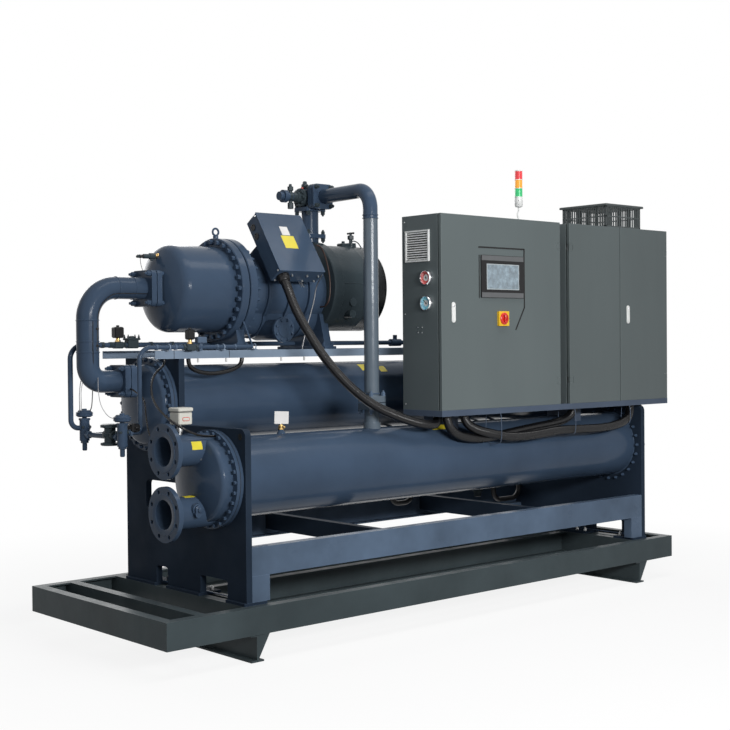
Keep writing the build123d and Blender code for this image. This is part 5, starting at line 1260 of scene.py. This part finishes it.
def line_fittings():
    """Valves and unions along the liquid pipe and the injection pipe."""
    piece = Piece("line_fittings", dark)
    solenoid(piece, Vector((357, LIQUID_Y, LIQUID_Z)), 38, 58, 46, 62)
    body = Vector((445, LIQUID_Y, LIQUID_Z))
    piece.paint(dark).block(body - Vector((34, 24, 20)), body + Vector((34, 24, 30)), 5)
    piece.block(body + Vector((-42, -28, 26)), body + Vector((42, 28, 38)), 3)
    for x, y in ((-34, -20), (-34, 20), (34, -20), (34, 20)):
        piece.stud(body + Vector((x, y, 38)), Z, 11, 8)
    piece.turned(body + Z * 38, Z, [(0, 14), (10, 14), (12, 9)], 6)
    for x in (250, 300, 560, 700, 1250, 1600):
        piece.turned((x, LIQUID_Y, LIQUID_Z), X, [(0, 17), (2, 19), (16, 19), (18, 17)], 6)
    solenoid(piece, Vector((571, INJECTION_Y, INJECTION_Z)), 40, 44, 42, 56)
    piece.paint(pale).block((612, 604, 1478), (672, 640, 1514), 4)
    piece.turned((640, INJECTION_Y, 1438), Z, [(0, 12), (40, 12)], 6)
    for x in (350, 470, 740, 860):
        place = (x, INJECTION_Y, INJECTION_Z)
        piece.turned(place, X, [(0, 14), (2, 17), (12, 17), (14, 14)], 6)
    # clamps in the rails' paint, which carries a painted highlight
    piece.paint(rail_steel_and_highlight)
    for x in (436, 790, 1004):
        piece.block((x - 9, 606, 1440), (x + 9, 686, 1446), 1.5)
        piece.torus((x, INJECTION_Y, INJECTION_Z), X, 15, 3, 24, 8)
        piece.hex_head((x, 668, 1446), Z, 12, 8)
    piece.paint(blue).rod((974, 684, 1600), (1004, 640, 1462), 5.5, 10)
    piece.done()


def capillaries():
    """Steel and black lines bent by hand between the valves and the suction pipe."""
    piece = Piece("capillary_lines", steel_tube)
    for points, radius in (
            ([(108, 996, 1118), (102, 985, 1150), (101, 984, 1210), (108, 980, 1280),
              (128, 973, 1350), (134, 974, 1402)], 2.4),
            ([(114, 990, 1118), (111, 984, 1160), (111, 982, 1230), (124, 974, 1310),
              (142, 970, 1385)], 1.7),
            ([(147, 868, 1312), (112, 803, 1225), (101, 760, 1158), (108, 712, 1108),
              (116, 668, 1092), (124, 646, 1102)], 1.8)):
        piece.tube(smooth_path(points), radius, 8)
    piece.paint(black)
    for points in (
            [(115, 857, 1600), (113, 856, 1500), (113, 856, 1434), (120, 868, 1340),
             (150, 930, 1230), (174, 982, 1150), (170, 992, 1118)],
            [(140, 862, 1440), (146, 864, 1530), (149, 866, 1611), (168, 865, 1681),
             (219, 864, 1732), (270, 865, 1750), (360, 865, 1752), (462, 866, 1752)]):
        piece.tube(smooth_path(points), 2.6, 8)
    for z in (1470, 1560):
        piece.block((134, 856, z - 5), (152, 868, z + 5), 1.5)
    piece.done()
    guard = Piece("guarded_line", rubber)
    line = smooth_path([(330, 850, 1236), (304, 760, 1226), (300, 660, 1180), (303, 640, 1073),
                        (316, 622, 985), (370, 590, 920), (484, 556, 880)])
    path = evenly(line, 3.0)[0]
    guard.tube(path, 5, 10, [3.4 + 1.4 * (index % 2) for index in range(len(path))])
    guard.done()


def drain_loops():
    """Feed lines looped under the evaporator, with a valve between them."""
    piece = Piece("feed_loops", black)
    for x0, x1, low in ((2310, 2500, 430), (3280, 3540, 372)):
        corners = ((x0, 935), (x0, low), (x1, low), (x1, 935))
        path = arcs([(x, CENTRE_Y, z) for x, z in corners], 70, 8)
        piece.tube(path, 17, 16)
    piece.paint(dark).rod((3120, CENTRE_Y, 936), (3120, CENTRE_Y, 486), 14, 16)
    body = [(0, 20), (4, 26), (30, 26), (36, 34), (56, 34), (62, 26), (76, 26), (80, 18)]
    piece.turned((3120, CENTRE_Y, 412), Z, body, 24)
    piece.paint(zinc)
    for x in (2310, 2500, 3280, 3540):
        piece.turned((x, CENTRE_Y, 560), Z, [(0, 22), (3, 25), (22, 25), (25, 22)], 6)
    piece.done()


# Frame

def foot_bolts():
    """Nuts on the pads under the end plates."""
    piece = Piece("frame_bolts", zinc)
    for x in (606, 3748):
        for y in (78, 190, 490, 560, 690, 752, 912, 1000, 1100, 1165):
            piece.stud((x, y, 155), Z, 19, 8)
    piece.done()


def rail_details():
    """Butt joints of the front compressor rail and the cable ties below it."""
    low, high = node_box("compressor_rails")
    piece = Piece("rail_joints", black)
    for x in (485, 849):
        piece.block((x - 1.6, low.y - 0.8, low.z + 1), (x + 1.6, low.y + 0.4, high.z - 1), 0.4)
    piece.paint(label_white)
    for x in (640, 828, 1215, 1384):
        piece.block((x - 5, low.y - 2, low.z - 22), (x + 5, low.y + 5, low.z + 1), 1.2)
    piece.done()


def plate_details():
    """Lifting holes, with black rims and a black disc of painted shade in each, and weld fillets
    of the end plates.
    """
    piece = Piece("plate_welds", blue)
    for x, way in ((LEFT_PLATE[1], 1), (RIGHT_PLATE[0], -1)):
        for z in (290, 433):
            path = [(x + way * 2, 66, z), (x + way * 110, 66, z)]
            piece.tube(path, 4, 8)
        piece.tube([(x + way * 2, 64, 160), (x + way * 2, 1178, 160)], 4, 8)
    piece.done()
    ring = Piece("plate_hole_rims_and_shade", black)
    for x, way in ((LEFT_PLATE[0], -X), (RIGHT_PLATE[1], X)):
        ring.collar((x, 96, 1000), way, [(-1, 9), (-1, 17), (1.2, 17), (1.2, 10)], 28)
        # black disc across the hole: painted shade of its inside
        ring.turned((x, 96, 1000), way, [(0, 10), (0.5, 10)], 20)
    ring.done()


def hose_hooks():
    """Bent wire hangers that hold the conduits under the cabinet rail."""
    piece = Piece("hose_hangers", rail_blue)
    for x, front, back, low in ((2391, 24, 148, 862), (3061, 6, 146, 882), (3660, 34, 106, 912)):
        path = [(front + 6, RAIL_FOOT), (front, 1010), (front, low + 30), (front + 26, low),
                (back - 26, low), (back, low + 30), (back, 1010), (back - 4, RAIL_FOOT)]
        piece.tube(smooth_path([(x, y, z) for y, z in path], 6), 2.4, 8)
    piece.done()


# Cabinets

DOOR_Y = 30
RAIL_FOOT = 1043
LEFT_CABINET = (1899, 2949, 355)        # left side, right side, back
RIGHT_CABINET = (3039, 4069, 430)
SIDE_X = LEFT_CABINET[0]
HINGE_HEIGHTS = (1228, 2065)
SWITCH_FRONT = 14
LOUVRE_RIM = 9
LOUVRE_BLADES = 12
TRIM = [(2212, 2032), (2610, 2033), (2611, 1680), (2533, 1546)]


def strip(piece, start, end, width, y, thick):
    """Thin straight strip on a door face between two points of the face."""
    a, b = Vector((start[0], 0, start[1])), Vector((end[0], 0, end[1]))
    way = (b - a).normalized()
    middle = (a + b) / 2 + Y * y
    piece.prism(middle, -Y, rounded(width, (b - a).length + width, width * 0.45), thick, 0.6, way)


def door_trim():
    """Dark strips round the operator panel."""
    piece = Piece("door_trim", black, "left_door")
    for start, end in zip(TRIM, TRIM[1:]):
        strip(piece, start, end, 9, DOOR_Y + 0.5, 2.2)
    strip(piece, (2214, 1984), (2214, 1732), 6, DOOR_Y + 0.5, 2.0)
    piece.done()


def operator_panel():
    """Touch panel: dark bezel, pale bars at top and bottom, framed screen."""
    low, high = node_box("hmi_panel")
    centre = Vector(((low.x + high.x) / 2, high.y, (low.z + high.z) / 2))
    width, height = high.x - low.x, high.z - low.z
    piece = Piece("operator_panel", black, "left_door")
    piece.prism(centre, -Y, rounded(width, height, 4), 8.6, 1.5, Z)
    piece.paint(grey_trim)
    for z in (high.z - 17, low.z + 17):
        piece.prism((centre.x, low.y + 1.4, z), -Y, rounded(width - 8, 29, 2), 1.2, 0.4, Z)
    middle = centre + Z * -1 - Y * 8.4
    piece.paint(frame_grey).collar_plate(middle, -Y, (284, 152), (274, 142), 0.9)
    piece.paint(screen).prism(middle, -Y, rounded(275, 143, 1), 0.4, 0.1, Z)
    piece.done(["hmi_panel"])


def door_handle(name, node, body):
    """White flush handle with rounded ends, a recess and a lock cylinder."""
    low, high = node_box(node)
    centre = Vector(((low.x + high.x) / 2, high.y, (low.z + high.z) / 2))
    width, depth, height = high - low
    lock = centre + Z * (height / 2 - 22)
    piece = Piece(name, white, body)
    piece.prism(centre, -Y, rounded(width, height, width * 0.48, 8), depth - 2.2, 2.0, Z)
    piece.prism(centre - Z * 12, -Y, rounded(width - 11, height - 46, 8, 6), depth - 0.4, 1.5, Z)
    piece.paint(chrome).turned(lock, -Y, [(0, 8), (depth - 1.2, 8), (depth - 0.2, 6.6)], 20)
    piece.paint(black).prism(lock, -Y, rounded(1.8, 8, 0.8, 2), depth, 0.0, Z)
    piece.done([node])


def gauge(piece, centre, radius, dial, needle):
    """Dial gauge let into the cabinet's side: bezel, dial with ticks, needle and glass."""
    out = -X
    bezel = [(0, radius - 7), (0, radius), (4, radius), (20, radius - 2), (25, radius - 5),
             (25.5, radius - 7), (21, radius - 8)]
    piece.paint(chrome).collar(centre, out, bezel, 48)
    piece.paint(black).turned(centre, out, [(0, radius - 8), (6, radius - 8)], 40)
    piece.paint(dial).turned(centre + out * 6, out, [(0, radius - 7.5), (8, radius - 7.5)], 48)
    hub = radius * 0.42
    piece.paint(white).turned(centre + out * 14, out, [(0, hub), (0.5, hub)], 40)
    piece.paint(black)
    for index in range(11):
        turn = radians(225 - 27 * index)
        way = Vector((0, -cos(turn), sin(turn)))
        start = centre + out * 14.6 + way * (radius - 18)
        piece.rod(start, start + way * 6, 0.8, 6)
    turn = radians(needle)
    way = Vector((0, -cos(turn), sin(turn)))
    piece.rod(centre + out * 15 - way * 9, centre + out * 15 + way * (radius - 17), 1.3, 6)
    piece.turned(centre + out * 14, out, [(0, 5), (3, 4)], 16)


def gauges():
    """High and low pressure gauges on the left cabinet's side."""
    piece = Piece("pressure_gauge_pair", chrome)
    gauge(piece, Vector((SIDE_X, 142, 1847)), 45, gauge_red, 115)
    gauge(piece, Vector((SIDE_X, 142, 1700)), 45, gauge_blue, 140)
    piece.paint(zinc)
    for y in (192, 226):
        for z in (1530, 1560):
            piece.turned((SIDE_X + 0.5, y, z), -X, [(0, 5), (2.4, 4.4), (3, 2)], 12)
    piece.done(["pressure_gauges"])


def signal_tower():
    """Signal tower: foot, bent stem, white base and three lenses."""
    low, high = node_box("tower_light")
    x, y = 2745, 190
    base = high.z - 8 - 3 * 54 - 62
    piece = Piece("signal_tower", white)
    piece.turned((x, y, low.z), Z, [(0, 24), (4, 24), (7, 12), (9, 7)], 28)
    stem = [(x, y, low.z + 6), (x, y, low.z + 20), (x - 12, y, low.z + 46), (x - 2, y, low.z + 74),
            (x, y, base - 2), (x, y, base + 4)]
    piece.tube(smooth_path(stem), 5, 12)
    piece.turned((x, y, base), Z, [(0, 12), (3, 21), (8, 24), (60, 24), (62, 22)], 36)
    z = base + 62
    ribs = [(2 + 3.9 * step, 24.4 - 0.7 * (step % 2)) for step in range(12)]
    ribs = [(0, 24)] + ribs + [(50.5, 24)]
    for material in (lens_green, lens_amber, lens_red):
        piece.paint(white).turned((x, y, z), Z, [(0, 25), (3.5, 25)], 36)
        piece.paint(material).turned((x, y, z + 3.5), Z, ribs, 36)
        z += 54
    piece.paint(white).turned((x, y, z), Z, [(0, 25), (5, 24), (7.5, 16)], 36)
    piece.paint(black)
    for turn_z in (18, 40):
        for place, out in around((x, y, base + turn_z), Z, 23.6, 4, pi / 4):
            piece.turned(place, out, [(0, 2.6), (1.2, 2.4)], 8)
    piece.done(["tower_light"])


# How the vent differs from the solid: further right, wider, deeper, higher
HOOD_RIGHT = 36
HOOD_WIDER = 20
HOOD_DEEPER = 24
HOOD_RISE = 62
HOOD_BARS = 19
HOOD_BAR = 12


def vent_hood():
    """Vent on the right cabinet: two rows of open slots under a thin hipped cap."""
    low, high = node_box("vent_hood")
    over = 14           # overhang of the cap
    x0, x1 = low.x + over + HOOD_RIGHT, high.x - over + HOOD_RIGHT + HOOD_WIDER
    y0, y1 = low.y + over, high.y - over + HOOD_DEEPER
    top = high.z - 16 + HOOD_RISE
    middle_z = (low.z + top) / 2
    piece = Piece("roof_vent", coat_hood)
    for z0, z1 in ((low.z, low.z + 12), (middle_z - 4, middle_z + 4), (top - 12, top)):
        for a, b in (((x0, y0), (x1, y0 + 3)), ((x0, y1 - 3), (x1, y1)), ((x0, y0), (x0 + 3, y1)),
                     ((x1 - 3, y0), (x1, y1))):
            piece.block((*a, z0), (*b, z1), 0.6)
    for index in range(HOOD_BARS):
        x = x0 + (x1 - x0 - HOOD_BAR) * index / (HOOD_BARS - 1)
        for y in (y0, y1 - 3):
            piece.block((x, y + 0.3, low.z), (x + HOOD_BAR, y + 2.7, top), 0.6)
        y = y0 + (y1 - y0 - HOOD_BAR) * index / (HOOD_BARS - 1)
        for x in (x0, x1 - 3):
            piece.block((x + 0.3, y, low.z), (x + 2.7, y + HOOD_BAR, top), 0.6)
    for x in (x0, x1 - 14):
        for y in (y0, y1 - 14):
            piece.block((x, y, low.z), (x + 14, y + 14, top), 1)
    middle = Vector(((x0 + x1) / 2, (y0 + y1) / 2, 0))
    reach_x, reach_y = (x1 - x0) / 2 + over, (y1 - y0) / 2 + over
    loops = []
    for z, inset in ((top - 6, 0), (top, 0), (top + 7, 0.5), (top + 9, 4), (top + 16, 70)):
        a, b = reach_x - inset, reach_y - inset
        corners = ((-a, -b), (a, -b), (a, b), (-a, b))
        loops.append([middle + Vector((x, y, z)) for x, y in corners])
    piece.rings(loops)
    piece.done(["vent_hood"])


def cabinet_details():
    """Door gaskets, floor glands and panel screws of both cabinets."""
    seals = Piece("door_seals", black)
    for x0, x1 in ((1903, 2945), (3043, 4046)):
        for z0, z1 in ((1082, 1092), (2201, 2211)):
            seals.block((x0, 50.5, z0), (x1, 59.5, z1), 1.5)
        for a, b in ((x0, x0 + 10), (x1 - 10, x1)):
            seals.block((a, 50.5, 1092), (b, 59.5, 2201), 1.5)
    seals.done()
    glands = Piece("floor_glands", black)
    section = [(0, 28), (0, 31), (6, 34), (26, 34), (28, 31), (34.5, 31), (34.5, 28)]
    for x, y in ((1986, 152), (2004, 99), (2150, 102), (3168, 110), (3744, 101)):
        glands.collar((x, y, RAIL_FOOT), Z, section, 20)
    glands.done()
    screws = Piece("cabinet_screws", zinc)
    head = [(0, 5), (2.4, 4.4), (3, 2)]
    for left, right, back in (LEFT_CABINET, RIGHT_CABINET):
        sunk = 2 if right == RIGHT_CABINET[1] else 0
        for x, way in ((left, -X), (right - sunk, X)):
            for z in (1110, 1640, 2180):
                screws.turned((x, back - 22, z), way, head, 10)
    for left, right, back in (LEFT_CABINET, RIGHT_CABINET):
        for x in (left + 24, (left + right) / 2, right - 24):
            for z in (1104, 2188):
                screws.turned((x, back, z), Y, head, 10)
    screws.done()


def knob_grip():
    """Rim and pointer mark of the red knob, and the frame round its plate."""
    low, high = node_box("switch_knob")
    centre = Vector(((low.x + high.x) / 2, low.y, (low.z + high.z) / 2))
    piece = Piece("switch_mark", white, "switch_handle")
    piece.prism(centre + Z * 14 + Y * 0.4, -Y, rounded(2.4, 12, 1), 0.9, 0.2, Z)
    back = Vector((centre.x, SWITCH_FRONT - 0.2, centre.z))
    piece.paint(red).collar(back, -Y, [(0, 22), (0, 36), (3, 36), (7, 31), (7, 22)], 40)
    piece.done()
    surround = Piece("switch_surround", yellow, "left_door")
    surround.collar_plate((centre.x, 23.4, centre.z), -Y, (88, 88), (52, 52), 23.4 - SWITCH_FRONT)
    surround.done()


def side_louvre():
    """Vent grille on the left cabinet's side: frame and slanted blades over a black sheet, painted
    shade of the cabinet's inside behind the opening.
    """
    low, high = node_box("cabinet_louvre")
    depth, width, height = high - low
    piece = Piece("side_louvre", white)
    centre = Vector((high.x, (low.y + high.y) / 2, (low.z + high.z) / 2))
    opening = (width - 2 * LOUVRE_RIM, height - 2 * LOUVRE_RIM)
    piece.collar_plate(centre, -X, (width, height), opening, depth)
    pitch = opening[1] / LOUVRE_BLADES
    y0, y1 = low.y + LOUVRE_RIM - 1, high.y - LOUVRE_RIM + 1
    for index in range(LOUVRE_BLADES):
        z = low.z + LOUVRE_RIM + pitch * (index + 0.5)
        section = [(1, -3.8), (2.6, -4.4), (9.5, 3.2), (8, 4)]
        piece.rings([[Vector((low.x + a, y, z + b)) for a, b in section] for y in (y0, y1)])
    z0, z1 = low.z + LOUVRE_RIM - 1, high.z - LOUVRE_RIM + 1
    # black sheet behind the blades: painted shade of the cabinet's inside
    piece.paint(black).block((high.x - 1.6, y0, z0), (high.x - 0.4, y1, z1), 0.3)
    piece.done(["cabinet_louvre"])


def hinge_covers():
    """Small plates that stay on the hinge knuckles and close the doors' notches; those of the
    right cabinet take its darkened coat, a painted shade.
    """
    piece = Piece("hinge_covers", coat_leaf_painted_shade)
    for edge, way, coat in ((LEFT_CABINET[1], -1, coat_door), (RIGHT_CABINET[0], 1, coat_leaf_painted_shade),
                            (RIGHT_CABINET[1], -1, coat_leaf_painted_shade)):
        piece.paint(coat)
        near, far = edge + way * 0.3, edge + way * 33.5
        for z in HINGE_HEIGHTS:
            piece.block((min(near, far), 30.3, z - 19.2), (max(near, far), 33.6, z + 19.2), 0.5)
    piece.done()


for build in (nozzle_faces, vessel_bolts, head_seams, head_plugs, vessel_labels, relief,
              flow_switch, compressor_shapes, compressor_bolts, dome_valve, box_details,
              discharge_bolts, pipe_welds, flange_bolts, separator_fittings, end_valves,
              line_fittings, capillaries, drain_loops, foot_bolts, rail_details, plate_details,
              hose_hooks, door_trim, operator_panel, gauges, signal_tower, vent_hood,
              cabinet_details, knob_grip, side_louvre, hinge_covers):
    build()
door_handle("left_handle", "left_door_handle", "left_door")
door_handle("right_handle", "right_door_handle", "right_right_leaf")


# Finish of the carried-over parts

FINISH = (
    # end plates, pads and cross beams in the darkened navy: painted shade
    (plate_blue_painted_shade, ["left_end_plate", "right_end_plate", "end_plate_pads", "frame_cross_beams"]),
    # discharge riser: grey tone with a painted highlight
    (riser_steel_and_highlight, ["discharge_riser"]),
    (blue, ["condenser_shell", "evaporator_shell", "condenser_left_head", "evaporator_left_head",
            "right_heads", "upper_water_nozzle", "lower_water_nozzle", "evaporator_nozzles",
            "rotor_housing", "capacity_cover", "terminal_box", "refrigerant_lines",
            "expansion_valves"]),
    (pale, ["long_beams", "beam_stubs"]),
    # compressor rails: pale paint with a painted highlight
    (rail_steel_and_highlight, ["compressor_rails"]),
    (skid, ["base_side_channels", "base_end_channels", "base_cross_members", "base_centre_beam",
            "foot_beams"]),
    (coat_side, ["left_cabinet_body", "right_cabinet_body"]),
    (coat_door, ["left_cabinet_door"]),
    # right cabinet's doors in the darkened door coat: painted shade
    (coat_leaf_painted_shade, ["right_cabinet_left_door", "right_cabinet_right_door"]),
    (rail_blue, ["cabinet_rails", "cabinet_saddles"]),
    (yellow, ["switch_plate"]),
    (red, ["switch_knob"]),
    (galvanised, ["mounting_plates"]),
)


for material, names in FINISH:
    for name in names:
        only_material(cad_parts[name].data, material)


# Floor, backdrop and light

FLOOR_REACH = 60.0
PALE_FLOOR = (0.92, 0.92, 0.92)
BOUNCE_FLOOR = (0.20, 0.20, 0.20)
WHITE = (1.0, 1.0, 1.0)
NEAR_GLOW = 0.86        # share of white glow under the object
FADE_FROM = 2.2         # metres from the middle at which the glow starts to grow
FADE_TO = 4.4
FILL_LEVEL = 0.21


def seen_or_mirrored(tree):
    """Value that is 1 where a ray comes from the camera, a reflection or through glass."""
    path = tree.nodes.new("ShaderNodeLightPath")
    last = path.outputs["Is Camera Ray"]
    for name in ("Is Glossy Ray", "Is Transmission Ray"):
        either = tree.nodes.new("ShaderNodeMath")
        either.operation = "MAXIMUM"
        tree.links.new(last, either.inputs[0])
        tree.links.new(path.outputs[name], either.inputs[1])
        last = either.outputs["Value"]
    return last


def make_floor():
    """Wide floor under the feet, pale where it is seen or mirrored."""
    mesh = bmesh.new()
    bmesh.ops.create_grid(mesh, x_segments=2, y_segments=2, size=FLOOR_REACH)
    data = bpy.data.meshes.new("studio_floor")
    mesh.to_mesh(data)
    mesh.free()
    made = placed("studio_floor", data)
    made.location = (0, 0, CAD_BOX[0].z)
    material, shader = new_material("floor_white", PALE_FLOOR, 0.9)
    links = material.node_tree.links
    seen = seen_or_mirrored(material.node_tree)
    grain = noise(material, 3.0, 3.0, 0.5)
    tint = ramp(material, grain, "Fac", [(0.3, shade(PALE_FLOOR, 0.99)), (0.7, PALE_FLOOR)])
    shown = add_node(material, "ShaderNodeMix", data_type="RGBA")
    links.new(seen, shown.inputs["Factor"])
    shown.inputs[MIX_FIRST].default_value = (*BOUNCE_FLOOR, 1.0)
    links.new(tint.outputs["Color"], shown.inputs[MIX_SECOND])
    join(material, shown, MIX_RESULT, shader, "Base Color")
    fade_to_white(material, shader, seen)
    data.materials.append(material)


def fade_to_white(material, shader, seen):
    """White glow of the floor where it is seen or mirrored, whole further out."""
    links = material.node_tree.links
    coords = add_node(material, "ShaderNodeTexCoord")
    distance = add_node(material, "ShaderNodeVectorMath", operation="LENGTH")
    join(material, coords, "Object", distance, 0)
    far = rescale(material, distance, "Value", NEAR_GLOW, 1.0, FADE_FROM, FADE_TO)
    both = add_node(material, "ShaderNodeMath", operation="MULTIPLY")
    join(material, far, "Result", both, 0)
    links.new(seen, both.inputs[1])
    glow = add_node(material, "ShaderNodeEmission", Color=(*WHITE, 1.0), Strength=1.0)
    blend = add_node(material, "ShaderNodeMixShader")
    join(material, both, "Value", blend, "Fac")
    links.new(shader.outputs["BSDF"], blend.inputs[1])
    links.new(glow.outputs["Emission"], blend.inputs[2])
    surface = material.node_tree.nodes["Material Output"].inputs["Surface"]
    links.new(blend.outputs["Shader"], surface)


def make_world():
    """White surroundings for the camera and reflections, and a weak fill for the rest."""
    world = bpy.data.worlds.new("studio")
    bpy.context.scene.world = world
    world.use_nodes = True
    tree = world.node_tree
    tree.nodes.clear()
    output = tree.nodes.new("ShaderNodeOutputWorld")
    blend = tree.nodes.new("ShaderNodeMixShader")
    fill = tree.nodes.new("ShaderNodeBackground")
    background = tree.nodes.new("ShaderNodeBackground")
    fill.inputs["Color"].default_value = (0.93, 0.96, 1.0, 1.0)
    fill.inputs["Strength"].default_value = FILL_LEVEL
    background.inputs["Color"].default_value = (*WHITE, 1.0)
    background.inputs["Strength"].default_value = 1.0
    tree.links.new(seen_or_mirrored(tree), blend.inputs["Fac"])
    tree.links.new(fill.outputs["Background"], blend.inputs[1])
    tree.links.new(background.outputs["Background"], blend.inputs[2])
    tree.links.new(blend.outputs["Shader"], output.inputs["Surface"])


def area_light(name, place, target, size, power, colour):
    """Rectangular soft box that faces a target."""
    data = bpy.data.lights.new(name, "AREA")
    data.shape = "RECTANGLE"
    data.size, data.size_y = size
    data.energy = power
    data.color = colour
    made = placed(name, data)
    made.location = place
    made.rotation_mode = "QUATERNION"
    made.rotation_quaternion = (Vector(target) - Vector(place)).to_track_quat("-Z", "Y")


# Name, place and target in metres, size in metres, power in watts, colour
LAMPS = (
    ("top_box", (0.0, -1.8, 6.0), (0, 0, 1.0), (5.5, 1.4), 100, (1.0, 0.99, 0.97)),
    ("front_box", (-1.8, -6.5, 2.6), (-0.1, 0, 1.2), (3.4, 0.7), 320, WHITE),
    ("left_box", (-6.5, -1.0, 3.6), (-0.6, 0, 1.3), (2.0, 3.0), 12, (0.95, 0.98, 1.0)),
    ("rear_box", (0.5, 6.5, 4.0), (0, 0, 1.2), (5.0, 3.0), 120, WHITE),
)

make_floor()
make_world()
for lamp in LAMPS:
    area_light(*lamp)
bpy.context.scene.view_settings.view_transform = "Standard"
